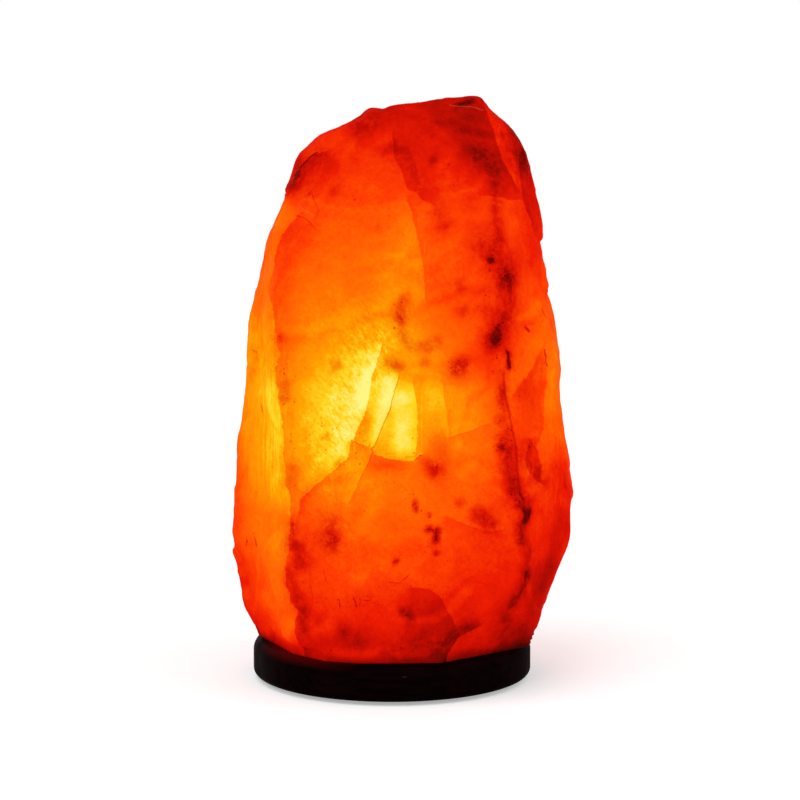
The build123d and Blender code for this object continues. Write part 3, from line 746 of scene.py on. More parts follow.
class Paint:
    """What the marks add to the salt, and how far the nearest sharp edge and the nearest fine line are."""

    sharp_from, sharp_to = 1.3 * MM, 2.5 * MM  # lines are drawn sharp up to about this far from them
    least_count = 0.02  # where a map counts for less, its lines aren't drawn

    def __init__(self, count):
        for layer in ("heat", "relief", "stain", "grit", "upright", "slanting", "jump", "crack_depth"):
            setattr(self, layer, np.zeros(count))
        for line in ("edge", "crack", "crack_gap"):
            setattr(self, line, np.full(count, self.sharp_to))

    def near(self, gap):
        """1 where a line is drawn sharp, fading to 0."""
        return 1.0 - ease(np.abs(gap), self.sharp_from, self.sharp_to)

    def add(self, over, **marks):
        """Puts marks on over a map, one kind after another."""
        for kind, rows in marks.items():
            for row in rows:
                if kind == "breaks":
                    self.add_break(over, *row)
                elif kind == "cracks":
                    self.add_fine_line(over, *row)
                elif kind == "swells":
                    self.add_swell(over, *row)
                else:
                    self.add_soft(over, getattr(self, kind), *row)

    def add_soft(self, over, layer, path, reach, amount):
        gap, _ = over.to_path(path)
        layer += amount * fading(gap, reach) * over.counts

    def add_swell(self, over, path, reach, rise):
        gap, _ = over.to_path(path)
        self.relief += rise * MM * fading(gap, reach)

    def add_break(self, over, path, left_lift, left_reach, right_lift, right_reach, step):
        """A step with painted glow that differs on its two sides.  The jump is kept apart, to be drawn sharp.
        """
        end_fade, step_reach = 4.0 * MM, 8.0
        gap, past = over.to_path(path)
        hold = over.counts * (1.0 - ease(past, 0.0, end_fade))
        left = left_lift * np.exp(-np.abs(gap) / (left_reach * MM))
        right = right_lift * np.exp(-np.abs(gap) / (right_reach * MM))
        half = (left - right) / 2 * hold
        self.heat += (left + right) / 2 * hold + half * np.sign(gap)
        nearer = (over.counts > self.least_count) & (np.abs(gap) < np.abs(self.edge))
        self.heat[nearer] += (self.jump * np.sign(self.edge))[nearer]
        self.jump[nearer] = (half * self.near(gap))[nearer]
        self.edge[nearer] = gap[nearer]
        self.heat[nearer] -= (self.jump * np.sign(gap))[nearer]
        side = ease(gap, -0.5 * MM, 0.5 * MM) - 0.5
        self.relief += side * step * MM * fading(gap, step_reach) * hold

    def add_fine_line(self, over, path, width, depth):
        """A line with a shallow furrow along it."""
        end_fade, furrow_depth, furrow_reach = 1.0 * MM, 0.25 * MM, 0.9
        gap, past = over.to_path(path)
        nearer = (over.counts > self.least_count) & (np.abs(gap) < np.abs(self.crack_gap))
        depth = depth * self.near(gap) * over.counts * (1.0 - ease(past, 0.0, end_fade))
        self.crack_gap[nearer] = gap[nearer]
        self.crack[nearer] = gap[nearer] * (0.5 / width)  # as if each crack were 0.5 mm wide
        self.crack_depth[nearer] = depth[nearer]
        self.relief -= furrow_depth * np.abs(depth) * fading(gap, furrow_reach)


def wandering(draw, start, heading, steps, pace):
    """A path that wanders off from a start on the round map, such as a crack's."""
    path = [np.array(start)]
    for _ in range(steps):
        heading += draw.normal(0.0, 0.45)
        path.append(path[-1] + pace * np.array((cos(heading), sin(heading))))
    return path


def round_marks(draw):
    """Marks for the sides and the back, of the same kinds and as thick on the ground as the front's."""
    def anywhere():
        return draw.uniform(-0.17, 0.17), -draw.uniform(0.025, 0.250)

    glows = [([anywhere()], draw.uniform(10, 24), draw.normal(0.0, 0.07)) for _ in range(26)]
    breaks = [
        (wandering(draw, anywhere(), draw.uniform(0.9, 2.2), 5, 0.009), draw.uniform(0.02, 0.09), 9.0,
         -draw.uniform(0.02, 0.08), 8.0, draw.uniform(0.3, 0.6))
        for _ in range(17)
    ]
    cracks = [
        (wandering(draw, anywhere(), draw.uniform(0.0, pi), 4, 0.005), 0.4, draw.uniform(0.25, 0.55))
        for _ in range(20)
    ]
    cracks += [(path, 0.35, 0.35) for path, *_ in breaks[::3]]
    stains = [
        (wandering(draw, anywhere(), draw.uniform(0.0, pi), 2, 0.006), draw.uniform(1.8, 5.5),
         draw.uniform(0.2, 0.6))
        for _ in range(44)
    ]
    vein = wandering(draw, (0.045, -0.215), 1.4, 9, 0.012)
    stains += [(vein, 4.0, 0.55), (vein[4:7], 3.0, 0.5)]
    grit = [(wandering(draw, anywhere(), 1.0, 2, 0.007), 5.0, 0.8) for _ in range(12)]
    grit.append((vein, 6.0, 0.6))
    return {"heat": glows, "breaks": breaks, "cracks": cracks, "stain": stains, "grit": grit}


# ======== the crystal
voxel = 1.35 * MM
hollow_radius, hollow_height = 21.0 * MM, 146.0 * MM
# painted light: the salt's glow, the bulb's light through it, is brightest about these hearts
hearts = [(-0.020, -0.030, 0.130), (0.004, 0.026, 0.124)]  # the front and the back glow most about these
usual_distance, usual_glow_level = 0.054, 0.645  # metres from the nearest heart, and the painted glow level there
glow_lost_by_metre = 5.4


def hewn(points, normals, draw, count, lean, lift):
    """How far each point lies from the nearest few of many flat cuts that lean at random."""
    chosen = draw.choice(len(points), count, replace=False)
    seats = points[chosen]
    few = 4  # cuts that reach a point
    nearest = np.empty((len(points), few), int)
    batch = 4000  # points at a time, to spare memory
    for start in range(0, len(points), batch):
        part = points[start:start + batch]
        away = ((part[:, None, :] - seats[None]) ** 2).sum(2)
        nearest[start:start + batch] = np.argpartition(away, few, axis=1)[:, :few]
    leans = normals[chosen] + draw.normal(0.0, lean, (count, 3))
    leans /= np.linalg.norm(leans, axis=1)[:, None]
    least_slope = 0.4  # no cut runs off further along the normal than this lets it
    gaps = []
    for column in nearest.T:
        slope = np.maximum((normals * leans[column]).sum(1), least_slope)
        gaps.append(((seats[column] - points) * leans[column]).sum(1) / slope)
    return np.min(gaps, axis=0) + lift


def broken(points, normals, height):
    """The salt's breakage in metres: flat breaks, chips, thin layers and grain, less at the worn top."""
    draw = np.random.default_rng(41)
    facets = np.clip(hewn(points, normals, draw, 150, 0.10, 0.5 * MM), -1.6 * MM, 0.7 * MM)
    chips = np.clip(hewn(points, normals, draw, 1100, 0.22, 0.4 * MM), -0.9 * MM, 0.2 * MM) * 0.38
    layers = lumps(points, 34.0 * MM, 9, 3) * 7.0
    shelves = 0.42 * MM * (ease(layers % 1.0, 0.40, 0.60) - layers % 1.0)
    grain = 0.12 * MM * lumps(points, 4.0 * MM, 12)
    worn = 0.5 * MM * ease(height, 195 * MM, 222 * MM)
    return facets + chips + shelves + grain + 0.5 * MM - worn


def salt_rock():
    """The crystal: its solid remeshed, broken up finely and painted with its marks."""
    rough = linked("rough", merged_copy("salt_crystal"))
    remesh = rough.modifiers.new("remesh", "REMESH")
    remesh.mode = "VOXEL"
    remesh.voxel_size = voxel
    mesh = evaluated(rough)
    points = read_points(mesh)
    normals = read_points(mesh, "normal")
    average = averaging(mesh)

    # the hollow and the sawn foot keep their form
    from_axis = np.hypot(points[:, 0] - axis_x, points[:, 1])
    height = points[:, 2] - crystal_low.z
    inside = (from_axis < hollow_radius + 1.5 * MM) & (height < hollow_height)
    free = np.where(inside, 0.0, 1.0) * ease(height, 0.3 * MM, 3.0 * MM)

    ragged = np.column_stack([
        0.55 * MM * lumps(points, 9.0 * MM, seed) + 0.4 * MM * lumps(points, 2.5 * MM, seed + 5)
        for seed in (1, 2)
    ])
    coat = Paint(len(points))
    coat.add(
        front_map(points, average(normals, 12), ragged), heat=front_glows, breaks=front_breaks,
        cracks=front_cracks_and_glints, stain=front_stains, grit=front_grit, swells=front_swells, upright=front_upright,
        slanting=front_slanting,
    )
    coat.add(round_map(points, 2.0 * ragged), **round_marks(np.random.default_rng(7)))

    # painted light: the salt's glow level, standing in for the bulb's light through the salt, falls off away
    # from the hearts
    away = np.min([np.linalg.norm(points - heart, axis=1) for heart in hearts], axis=0)
    # painted shade: the glow dims towards the foot, where the crystal meets the base
    painted_foot_shade = 0.22 * (1.0 - ease(height, 0.0, 6.0 * MM))
    heat = usual_glow_level - glow_lost_by_metre * (away - usual_distance) + coat.heat - painted_foot_shade

    points += normals * ((broken(points, normals, height) + coat.relief) * free)[:, None]
    for _ in range(2):  # the salt's broken edges have weathered
        points += 0.5 * free[:, None] * (average(points) - points)
    snap = inside & (height > 1.0 * MM) & (height < hollow_height - 8.0 * MM)
    outward = points[snap, :2] - (axis_x, 0.0)
    outward *= ((hollow_radius + 0.15 * MM) / np.hypot(*outward.T))[:, None]
    points[snap, :2] = outward + (axis_x, 0.0)
    mesh.vertices.foreach_set("co", points.astype(np.float32).ravel())
    mesh.update()

    # painted light: facets glow by how they lean towards brightest_lean, and thin edges more than hollows
    turned = read_points(mesh, "normal")
    lean = average(turned) - average(turned, 14)
    proud = average(((points - average(points, 2)) * turned).sum(1) / voxel, 2)
    brightest_lean = np.array((-0.35, 0.0, 0.94))
    heat += 0.16 * np.clip(lean @ brightest_lean, -0.3, 0.3) + 0.10 * np.clip(proud, -0.6, 0.6)

    mesh.shade_smooth()
    drawn_to = 3.0  # millimetres from an edge or a fine line
    # the painted glow is kept near its brightest in the hollow round the bulb
    paint(mesh, "painted_glow", np.where(inside, 0.95, heat))
    paint(mesh, "edge", np.clip(coat.edge / MM, -drawn_to, drawn_to))
    paint(mesh, "crack", np.clip(coat.crack / MM, -drawn_to, drawn_to))
    for layer in ("jump", "crack_depth", "grit"):
        paint(mesh, layer, np.where(inside, 0.0, getattr(coat, layer)))
    paint(mesh, "stain", np.clip(np.where(inside, 0.0, coat.stain), 0.0, 1.2))
    paint(mesh, "proud", np.clip(proud, -1.0, 1.0))
    paint(mesh, "upright", coat.upright)
    paint(mesh, "slanting", coat.slanting)
    return mesh


def srgb(red, green, blue):
    """A colour as it looks on a screen, 0 to 255, as the shader wants it."""
    shares = (value / 255 for value in (red, green, blue))
    return tuple(s / 12.92 if s <= 0.04045 else ((s + 0.055) / 1.055) ** 2.4 for s in shares)


# The colours of the salt's painted glow, the bulb's light through it, from its dimmest to its brightest.
glow_scale = [
    (0.00, srgb(40, 0, 0)),
    (0.15, srgb(132, 1, 0)),
    (0.30, srgb(200, 8, 0)),
    (0.40, srgb(232, 25, 0)),
    (0.50, srgb(250, 60, 0)),
    (0.65, srgb(253, 110, 0)),
    (0.80, srgb(254, 165, 0)),
    (0.90, srgb(255, 215, 30)),
    (1.00, srgb(255, 245, 130)),
]


def glow_of(heat):
    ramp = add(heat.tree, "ValToRGB", {"Fac": heat})
    stops = ramp.color_ramp.elements
    while len(stops) < len(glow_scale):
        stops.new(0.5)
    for stop, (position, colour) in zip(stops, glow_scale):
        stop.position = position
        stop.color = (*colour, 1.0)
    return Wire(ramp.outputs["Color"])


def rock_salt_finish():
    """Salt whose glow is painted light, the bulb's light through it painted as emission by its glow level,
    with its broken edges, cracks, dirt and grains.
    """
    material, shader, place = finish_of("rock salt", IOR=1.012, Emission_Strength=1.0)
    tree = material.node_tree
    blotches, grain = handling(place, 14 * MM, 1.1 * MM)
    stain = painted(tree, "stain")
    # an edge's two sides, drawn sharp with a slightly ragged line
    wobble = swing(speckle(place, 900.0, 3.0, 0.6), 1.1)
    side = spread(painted(tree, "edge") + wobble, -0.16, 0.16, -1.0, 1.0)
    heat = painted(tree, "painted_glow") + painted(tree, "jump") * side
    # clouds, mottle, streaks and grain in the glow
    clouds = swing(speckle(place, 60.0, 5.0, 0.62), 0.16)
    mottle = swing(speckle(place, 420.0, 3.0, 0.65), 0.10)
    upright = swing(speckle(place, 1.0, 4.0, 0.6, (520.0, 520.0, 42.0)), 0.34) * painted(tree, "upright")
    leaned = output_of(tree, "Mapping", 0, {"Vector": place, "Rotation": (0.0, radians(38.0), 0.0)})
    slanting = swing(speckle(leaned, 1.0, 5.0, 0.7, (680.0, 500.0, 300.0)), 0.38) * painted(tree, "slanting")
    heat = heat + clouds + mottle + upright + slanting + swing(grain, 0.07)
    # dirt: soft clouds that break up into crisp specks, and grains of mineral
    cloudy = spread(speckle(place, 330.0, 4.0, 0.7), 0.32, 0.64, 0.45, 1.0)
    crisp = spread(stain + swing(speckle(place, 1300.0, 3.0, 0.6), 1.5), 0.62, 0.78, 0.0, 0.34)
    specks = spread(dots(place, 5 * MM, 0.16), 0.1, 0.6) * 0.30
    grains = spread(dots(place, 1.6 * MM, 0.42), 0.1, 0.5) * painted(tree, "grit") * 0.8
    dirt = stain * cloudy + crisp * stain + specks + grains
    # fine cracks, dark, and pale lines painted as glints
    line = maths("ABSOLUTE", painted(tree, "crack") + wobble * 0.4)
    line = spread(line, 0.12, 0.42, 1.0, 0.0) * painted(tree, "crack_depth")
    dirt = maths("ADD", dirt, maths("MAXIMUM", line, 0.0), clamp=True)
    painted_glints = maths("MAXIMUM", line * -1.0, 0.0)
    # painted light: the glow colour, dimmed by dirt, is the salt's emission
    glow = blend(dirt * 0.42, glow_of(heat - dirt * 0.34), (0.22, 0.12, 0.12), "MULTIPLY")
    # painted highlight: the pale glint lines lighten the emission
    feed(shader["Emission Color"], blend(painted_glints, glow, srgb(255, 190, 120)))
    colour = blend(dirt, (0.05, 0.003, 0.001), (0.02, 0.002, 0.001))
    # painted light: proud, thin edges get a paler red base colour, as if lit through
    colour = blend(spread(painted(tree, "proud"), 0.15, 0.6, 0.0, 0.25), colour, (0.22, 0.03, 0.01))
    dress(shader, colour, spread(blotches, 0.0, 1.0, 0.45, 0.70), grain, 0.25 * MM, 0.6)
    material.cycles.emission_sampling = "NONE"
    return material


new_piece("salt_rock", salt_rock(), "lamp", rock_salt_finish(), "rock_salt", "salt_crystal")


# ======== wooden base
def stained_wood_finish():
    """Nearly black wood, with a small painted highlight on its rim and the salt's light painted on its upper
    edge.
    """
    material, shader, place = finish_of("stained wood", IOR=1.035, Emission_Strength=1.0)
    fibres = speckle(place, 1.0, 4.0, 0.6, (30.0, 420.0, 420.0))
    rings = speckle(place, 1.0, 2.0, 0.5, (8.0, 120.0, 60.0))
    grain = fibres * 0.6 + rings * 0.4
    colour = blend(spread(grain, 0.38, 0.64), (0.0014, 0.0003, 0.0003), (0.0045, 0.0009, 0.0007))
    # painted highlight: a small pale spot on the front of the rim
    painted_highlight_spot = (0.0012, -0.0625, 0.0129)
    off_highlight_spot = vectors("MULTIPLY", vectors("SUBTRACT", place, painted_highlight_spot), (0.35, 1.0, 1.6))
    off_highlight_spot = vectors("LENGTH", off_highlight_spot, (0.0, 0.0, 0.0), "Value")
    colour = blend(spread(off_highlight_spot, 0.2 * MM, 0.6 * MM, 1.0, 0.0), colour, (0.05, 0.02, 0.025))
    # the salt's light, caught by the rim round the crystal's foot and strongest at the front left
    height = parts_of(place)[2]
    brightest = (-0.047, -0.044, base_high.z)
    away = vectors("DISTANCE", place, brightest, "Value")
    caught = spread(height, base_high.z - 5.0 * MM, base_high.z) * spread(away, 0.004, 0.036, 1.0, 0.05)
    feed(shader["Emission Color"], blend(caught, (0.0, 0.0, 0.0), srgb(74, 1, 2)))
    blotches, _ = handling(place, 18 * MM, 1.0 * MM)
    dress(shader, colour, spread(blotches, 0.0, 1.0, 0.44, 0.6), grain, 0.15 * MM, 0.5)
    return material


turned_base = smooth(merged_copy("wood_base"), 40.0)
new_piece("turned_base", turned_base, "lamp", stained_wood_finish(), "stained_wood", "wood_base")


# ======== finishes of the small parts
def metal_finish(name, bright, dull, smooth_at, rough_at, grain_size=0.8 * MM, relief=0.02 * MM):
    """Metal with patches that handling and heat have dulled."""
    material, shader, place = finish_of(name, Metallic=1.0)
    blotches, grain = handling(place, 4 * MM, grain_size)
    dulled = blotches * grain
    rough = spread(dulled, 0.0, 0.7, smooth_at, rough_at)
    dress(shader, blend(dulled, bright, dull), rough, grain, relief, 0.5)
    return material


def moulded_finish(name, colour, dusty, smooth_at, rough_at, relief):
    """Plastic or rubber with a fine moulded skin and a little dust."""
    material, shader, place = finish_of(name)
    blotches, grain = handling(place, 7 * MM, 0.4 * MM)
    dust = maths("ADD", blotches * 0.35, dots(place, 1.5 * MM, 0.12) * 0.5, clamp=True)
    rough = spread(blotches, 0.0, 1.0, smooth_at, rough_at)
    dress(shader, blend(dust, colour, dusty), rough, grain, relief, 0.6)
    return material


def glass_finish():
    """Clear blown glass, with faint smears left by fingers."""
    material, shader, place = finish_of("clear glass", Transmission_Weight=1.0, IOR=1.5)
    blotches, grain = handling(place, 9 * MM, 1.2 * MM)
    smears = blotches * grain
    dress(shader, blend(smears, (1.0, 0.99, 0.96), (0.96, 0.95, 0.91)), spread(smears, 0.3, 0.8, 0.0, 0.09))
    return material


def hot_tungsten_finish():
    """The filament, whiter in the middle of its coils than where they cool towards the wires."""
    material, shader, place = finish_of("hot tungsten", Metallic=1.0, Emission_Strength=6.0)
    off_middle = maths("ABSOLUTE", parts_of(place)[0] - axis_x)
    half_span = (filament_high.x - filament_low.x) / 2
    cooling = spread(off_middle, half_span * 0.4, half_span)
    feed(shader["Emission Color"], blend(cooling, (1.0, 0.72, 0.36), (1.0, 0.38, 0.10)))
    _, grain = handling(place, 1 * MM, 0.2 * MM)
    dress(shader, blend(grain, (0.5, 0.42, 0.36), (0.7, 0.6, 0.5)), spread(grain, 0.2, 0.8, 0.3, 0.5))
    return material


# the colour, the dusty or dulled colour, and the roughness where it is smoothest and roughest
moulding = moulded_finish("black moulding", (0.018, 0.017, 0.017), (0.07, 0.065, 0.06), 0.28, 0.45, 0.05 * MM)
rubber = moulded_finish("foot rubber", (0.022, 0.021, 0.02), (0.10, 0.09, 0.08), 0.75, 0.95, 0.10 * MM)
nylon = moulded_finish("white nylon", (0.72, 0.70, 0.64), (0.50, 0.47, 0.40), 0.40, 0.60, 0.06 * MM)
black_glass = moulded_finish("black glass", (0.012, 0.012, 0.016), (0.05, 0.05, 0.055), 0.08, 0.22, 0.04 * MM)
brass = metal_finish("pressed brass", (0.80, 0.56, 0.20), (0.36, 0.21, 0.07), 0.22, 0.48)
zinc = metal_finish("zinc plate", (0.66, 0.67, 0.66), (0.42, 0.42, 0.38), 0.26, 0.50)
spring_steel = metal_finish("blued spring steel", (0.30, 0.31, 0.36), (0.20, 0.15, 0.11), 0.24, 0.46)
nickel = metal_finish("nickel plate", (0.74, 0.70, 0.63), (0.50, 0.45, 0.38), 0.16, 0.40)
solder = metal_finish("solder", (0.62, 0.62, 0.61), (0.34, 0.34, 0.33), 0.35, 0.6, 0.5 * MM, 0.05 * MM)
drawn_wire = metal_finish("drawn wire", (0.58, 0.54, 0.49), (0.36, 0.32, 0.27), 0.25, 0.45, 0.3 * MM)
glass = glass_finish()
hot_tungsten = hot_tungsten_finish()

# Nodes whose shape is right, shown as smooth copies: the finish, the record's slot and the body of each.
plain_parts = [
    (zinc, "zinc_steel", "lamp", "base_screws screw_washers foot_screws"),
    (nylon, "nylon", "lamp", "crystal_plugs"),
    (rubber, "rubber", "lamp", "rubber_feet"),
    (moulding, "moulding", "holder", "holder_body holder_end_cap holder_ring_nut"),
    (brass, "brass", "holder", "centre_contact live_terminal_plate neutral_terminal_plate"),
    (brass, "brass", "holder", "contact_rivets terminal_screws"),
    (spring_steel, "spring_steel", "holder", "clip_ring"),
    (spring_steel, "spring_steel", "spring_arm_back", "clip_arm_back"),
    (spring_steel, "spring_steel", "spring_arm_left", "clip_arm_left"),
    (spring_steel, "spring_steel", "spring_arm_right", "clip_arm_right"),
    (glass, "clear_glass", "bulb", "bulb_stem"),
    (solder, "solder", "bulb_tip", "bulb_cap_contact"),
    (drawn_wire, "lead_wire", "bulb", "lead_wires filament_support"),
]
for finish, slot, body, nodes in plain_parts:
    for node in nodes.split():
        new_piece(f"{node}_finished", smooth(merged_copy(node)), body, finish, slot, node)


# ======== trees that make what follows a rule
def shape_tree(name, sizes):
    inputs = {"Geometry": SHAPE, **dict.fromkeys(sizes, NUMBER), "Finish": FINISH}
    return new_tree(name, "GeometryNodeTree", inputs, {"Geometry": SHAPE})


def close_tree(shape, finish, result):
    """Ends a tree: its copies are made real and take their finish."""
    real = output_of(shape.tree, "GeometryNodeRealizeInstances", 0, {"Geometry": shape})
    dressed = output_of(shape.tree, "GeometryNodeSetMaterial", 0, {"Geometry": real, "Material": finish})
    feed(result["Geometry"], dressed)


def moved(shape, offset):
    return output_of(shape.tree, "GeometryNodeSetPosition", 0, {"Geometry": shape, "Offset": offset})


def rolled_thread_tree():
    """A tube rolled into a right-hand thread, which fades to its crest (1) or its root (-1) at both ends."""
    tree, given, result = shape_tree(
        "Rolled thread", ["Radius", "Depth", "Pitch", "Length", "Phase", "Run Out", "Fades To"],
    )
    inputs = {"Vertices": 72, "Side Segments": 90, "Radius": given["Radius"], "Depth": given["Length"]}
    tube = output_of(tree, "GeometryNodeMeshCylinder", "Mesh", inputs, fill_type="NONE")
    x, y, z = parts_of(output_of(tree, "GeometryNodeInputPosition"))
    turned = maths("ARCTAN2", y, x)
    risen = z / given["Pitch"] * (2 * pi)
    wave = maths("COSINE", risen - turned + given["Phase"])
    to_end = given["Length"] / 2.0 - maths("ABSOLUTE", z)
    full = spread(to_end, 0.0, given["Run Out"])
    wave = wave * full + given["Fades To"] * (1.0 - full)
    share = (wave - 1.0) * (given["Depth"] / 2.0) / given["Radius"]
    close_tree(moved(tube, place_of(tree, x * share, y * share, 0.0)), given["Finish"], result)
    return tree


def coiled_wire_tree():
    """A wire wound in a fine coil about the path that it is given."""
    tree, given, result = shape_tree("Coiled wire", ["Coil Radius", "Turns", "Wire Radius"])
    path = output_of(tree, "GeometryNodeMeshToCurve", 0, {"Mesh": given["Geometry"]})
    points_by_turn = 12.0
    inputs = {"Curve": path, "Count": given["Turns"] * points_by_turn}
    even = output_of(tree, "GeometryNodeResampleCurve", 0, inputs)
    turned = output_of(tree, "GeometryNodeSplineParameter", "Factor") * given["Turns"] * (2 * pi)
    across = vectors("CROSS_PRODUCT", output_of(tree, "GeometryNodeInputTangent"), (0.0, 1.0, 0.0))
    sideways = place_of(tree, 0.0, maths("SINE", turned), 0.0)
    swung = vectors("ADD", scaled(across, maths("COSINE", turned)), sideways)
    wound = moved(even, scaled(swung, given["Coil Radius"]))
    inputs = {"Resolution": 6, "Radius": given["Wire Radius"]}
    section = output_of(tree, "GeometryNodeCurvePrimitiveCircle", 0, inputs)
    inputs = {"Curve": wound, "Profile Curve": section, "Fill Caps": True}
    close_tree(output_of(tree, "GeometryNodeCurveToMesh", 0, inputs), given["Finish"], result)
    return tree


def grown(name, mesh, tree, values, wall=0.0):
    """The mesh that a tree grows from a mesh with these values, given a wall if it needs one."""
    piece = linked(name, mesh)
    growth = piece.modifiers.new("growth", "NODES")
    growth.node_group = tree
    for item in tree.interface.items_tree:
        if item.in_out == "INPUT" and item.name in values:
            growth[item.identifier] = values[item.name]
    if wall:
        skin = piece.modifiers.new("wall", "SOLIDIFY")
        skin.thickness = wall
        skin.offset = -1.0
    return evaluated(piece)


rolled_thread = rolled_thread_tree()
coiled_wire = coiled_wire_tree()
thread_pitch = 2.54 * MM
thread_depth = 0.55 * MM


def thread_at(low, high, radius, wall, fades_to, finish):
    """A rolled thread on the lamp's axis between two heights.  Threads that mesh share their phase."""
    middle = (low + high) / 2
    mesh = grown("thread", bpy.data.meshes.new("empty"), rolled_thread, {
        "Radius": radius, "Depth": thread_depth, "Pitch": thread_pitch, "Length": high - low,
        "Phase": 2 * pi * middle / thread_pitch, "Run Out": 1.2 * MM, "Fades To": fades_to,
        "Finish": finish,
    }, wall)
    mesh.transform(Matrix.Translation((axis_x, 0.0, middle)))
    return mesh


# ======== bulb and the shell that it screws into
cap_radius = (cap_high.x - cap_low.x) / 2
cap_wall = 0.4 * MM
cap_cone_radius, cap_cone_height = 4.6 * MM, 1.6 * MM
thread_top_drop = 3.4 * MM  # plain collar left above the cap's thread
root_radius = cap_radius - thread_depth
root_inside = root_radius - cap_wall

thread_low, thread_high = cap_low.z + cap_cone_height, cap_high.z - thread_top_drop
cap_thread = thread_at(thread_low, thread_high, cap_radius, cap_wall, -1.0, nickel)
cap_cone = lathed("turned", [
    (cap_cone_radius - cap_wall, cap_low.z), (cap_cone_radius, cap_low.z), (root_radius, thread_low),
    (root_inside, thread_low), (cap_cone_radius - cap_wall, cap_low.z),
])
cap_collar = lathed("turned", [
    (root_inside, thread_high), (root_radius, thread_high),
    (root_radius + 0.1 * MM, thread_high + 0.5 * MM), (cap_radius - 0.1 * MM, thread_high + 1.1 * MM),
    (cap_radius - 0.1 * MM, cap_high.z - 0.6 * MM), (cap_radius, cap_high.z - 0.45 * MM),
    (cap_radius, cap_high.z - 0.15 * MM), (cap_radius - 0.15 * MM, cap_high.z),
    (cap_radius - cap_wall, cap_high.z), (cap_radius - cap_wall - 0.1 * MM, thread_high + 1.1 * MM),
    (root_inside, thread_high),
])
rolled_cap = joined("joined", cap_thread, cap_cone, cap_collar)
new_piece("bulb_cap_rolled", smooth(rolled_cap), "bulb", nickel, "nickel_cap", "bulb_cap")

shell_radius = (shell_high.x - shell_low.x) / 2
shell_wall = 0.5 * MM
shell_floor_inner = 4.2 * MM
shell_floor_top = shell_low.z + shell_wall
shell_thread = thread_at(shell_floor_top, shell_high.z, shell_radius, shell_wall, 1.0, brass)
shell_floor = lathed("turned", [
    (shell_floor_inner, shell_low.z), (shell_radius - 0.2 * MM, shell_low.z), (shell_radius, shell_floor_top),
    (shell_floor_inner, shell_floor_top), (shell_floor_inner, shell_low.z),
])
rolled_shell = joined("joined", shell_thread, shell_floor)
new_piece("holder_shell_rolled", smooth(rolled_shell), "holder", brass, "brass", "holder_thread_shell")

glass_radius = (glass_high.x - glass_low.x) / 2
glass_wall = 0.5 * MM
neck_radius = root_inside - 0.1 * MM
neck_top = cap_high.z - 2.0 * MM
widest_height = cap_high.z + 14.0 * MM


def glass_outline(skin):
    """The bulb's outline from neck to tip, taken in by skin: a swelling below and a blunt cone above."""
    rows = [(neck_radius - skin, glass_low.z), (neck_radius - skin, neck_top)]
    for step in range(1, 15):
        share = step / 14
        swell = share * share * (3 - 2 * share)
        rows.append((neck_radius + (glass_radius - neck_radius) * swell - skin,
                     neck_top + share * (widest_height - neck_top)))
    for step in range(1, 24):
        share = sin(step / 24 * pi / 2)
        radius = (glass_radius - skin) * (1 - share ** 1.9) ** 0.62
        rows.append((radius, widest_height + share * (glass_high.z - skin - widest_height)))
    return rows + [(0.0, glass_high.z - skin)]


blown_glass = lathed("turned", [*reversed(glass_outline(glass_wall)), *glass_outline(0.0)])
new_piece("bulb_glass_blown", smooth(blown_glass), "bulb", glass, "clear_glass", "bulb_glass")

insulator_low, insulator_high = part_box("bulb_cap_insulator")
insulator_foot = 2.6 * MM
slack = 0.05 * MM  # between the insulator and the cap
insulator = lathed("turned", [
    (0.0, insulator_low.z), (insulator_foot - 0.3 * MM, insulator_low.z),
    (insulator_foot, insulator_low.z + 0.3 * MM), (cap_cone_radius - cap_wall - slack, cap_low.z),
    (root_inside - slack, thread_low), (root_inside - slack, insulator_high.z), (0.0, insulator_high.z),
])
new_piece("bulb_insulator_moulded", smooth(insulator), "bulb", black_glass, "black_glass",
          "bulb_cap_insulator")


def filament_path():
    """The half circle that the filament hangs in, as a string of edges."""
    coil_reach = 0.3 * MM
    reach = (filament_high.x - filament_low.x) / 2 - coil_reach
    foot = filament_high.z - coil_reach - reach
    steps = 40
    spots = [(axis_x - reach * cos(pi * k / steps), 0.0, foot + reach * sin(pi * k / steps))
             for k in range(steps + 1)]
    mesh = bpy.data.meshes.new("filament path")
    mesh.from_pydata(spots, [(k, k + 1) for k in range(steps)], [])
    return mesh


filament = grown("filament", filament_path(), coiled_wire, {
    "Coil Radius": 0.24 * MM, "Turns": 56.0, "Wire Radius": 0.055 * MM, "Finish": hot_tungsten,
})
new_piece("filament_coiled", smooth(filament, 80.0), "bulb", hot_tungsten, "hot_tungsten", "filament")

# ======== stage
floor_white = 0.8
floor_lift = 0.38  # light of its own that the eye sees on the floor
sky_strength = 0.55


def seen_plainly(tree):
    """1 for what is seen straight, in a mirror or through glass, and 0 for what only gives light."""
    path = {socket.name: Wire(socket) for socket in add(tree, "LightPath").outputs}
    mirrored = maths("MAXIMUM", path["Is Glossy Ray"], path["Is Transmission Ray"])
    return maths("MAXIMUM", path["Is Camera Ray"], mirrored)


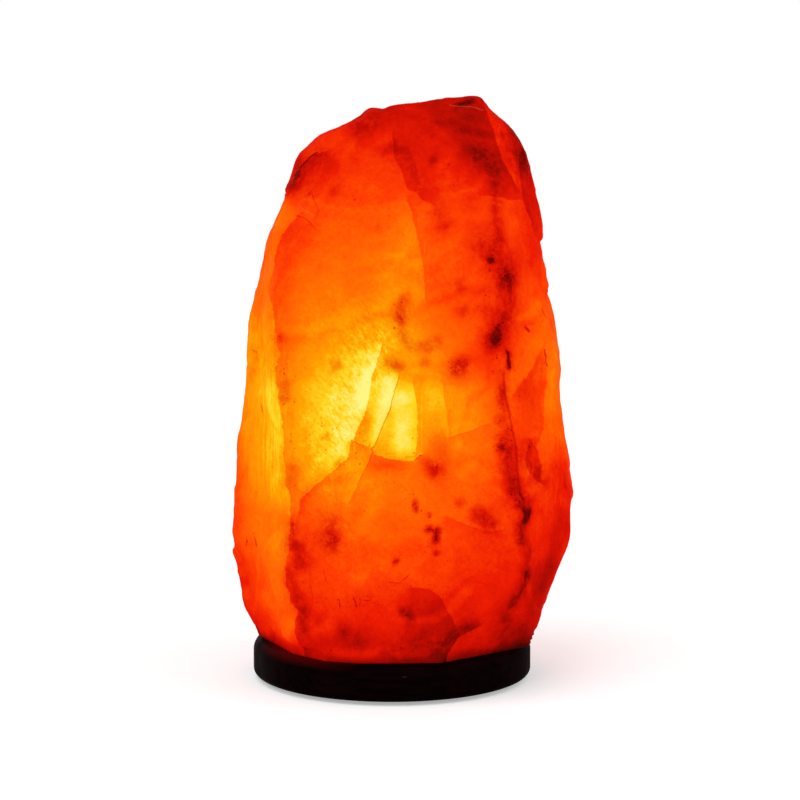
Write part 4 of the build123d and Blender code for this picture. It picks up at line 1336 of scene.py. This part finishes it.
def stage_floor():
    """A wide pale floor, seen through from underneath, with a hole that the holder comes down through."""
    edge, near_lamp, hole = 6.0, 0.3, 0.0225
    floor = linked("floor", lathed("floor", [(edge, 0.0), (near_lamp, 0.0), (hole, 0.0)], 96, solid=False))
    material = bpy.data.materials.new("pale floor")
    material.use_nodes = True
    tree = material.node_tree
    tree.nodes.clear()
    matt = output_of(tree, "BsdfDiffuse", 0, {"Color": (floor_white, floor_white, floor_white, 1.0)})
    inputs = {"Color": (1.0, 1.0, 1.0, 1.0), "Strength": seen_plainly(tree) * floor_lift}
    lift = output_of(tree, "Emission", 0, inputs)
    pale = output_of(tree, "AddShader", 0, {0: matt, 1: lift})
    clear = output_of(tree, "BsdfTransparent")
    under = output_of(tree, "NewGeometry", "Backfacing")
    mixed = output_of(tree, "MixShader", 0, {"Fac": under, 1: pale, 2: clear})
    add(tree, "OutputMaterial", {"Surface": mixed})
    floor.data.materials.append(material)


def studio_sky():
    """Even white light from all round, and plain white where the eye sees it."""
    world = bpy.data.worlds.new("studio")
    bpy.context.scene.world = world
    world.use_nodes = True
    tree = world.node_tree
    tree.nodes.clear()
    inputs = {"Value": seen_plainly(tree), "To Min": sky_strength, "To Max": 1.0}
    inputs = {"Color": (1.0, 1.0, 1.0, 1.0), "Strength": output_of(tree, "MapRange", 0, inputs)}
    add(tree, "OutputWorld", {"Surface": output_of(tree, "Background", 0, inputs)})


def soft_lamp(name, strength, width_degrees, azimuth, elevation):
    """A wide soft lamp far away, on a bearing from the front and a height, in degrees."""
    data = bpy.data.lights.new(name, "SUN")
    data.energy = strength
    data.angle = radians(width_degrees)
    lamp = bpy.data.objects.new(name, data)
    bearing, rise = radians(azimuth), radians(elevation)
    towards = Vector((sin(bearing) * cos(rise), -cos(bearing) * cos(rise), sin(rise)))
    lamp.rotation_euler = towards.to_track_quat("Z", "Y").to_euler()
    bpy.context.scene.collection.objects.link(lamp)


stage_floor()
studio_sky()
soft_lamp("key", 1.1, 50.0, -40.0, 55.0)
soft_lamp("fill", 0.5, 60.0, 60.0, 40.0)

camera_data = bpy.data.cameras.new("eye")
camera_data.sensor_width = 36.0
camera_data.lens = camera_data.sensor_width * focal_pixels / photo_size
camera = bpy.data.objects.new("eye", camera_data)
camera.location = eye
camera.rotation_euler = (pi / 2 - eye_pitch, 0.0, 0.0)
bpy.context.scene.collection.objects.link(camera)
bpy.context.scene.camera = camera
bpy.context.scene.view_settings.view_transform = "Standard"

bpy.context.view_layer.update()
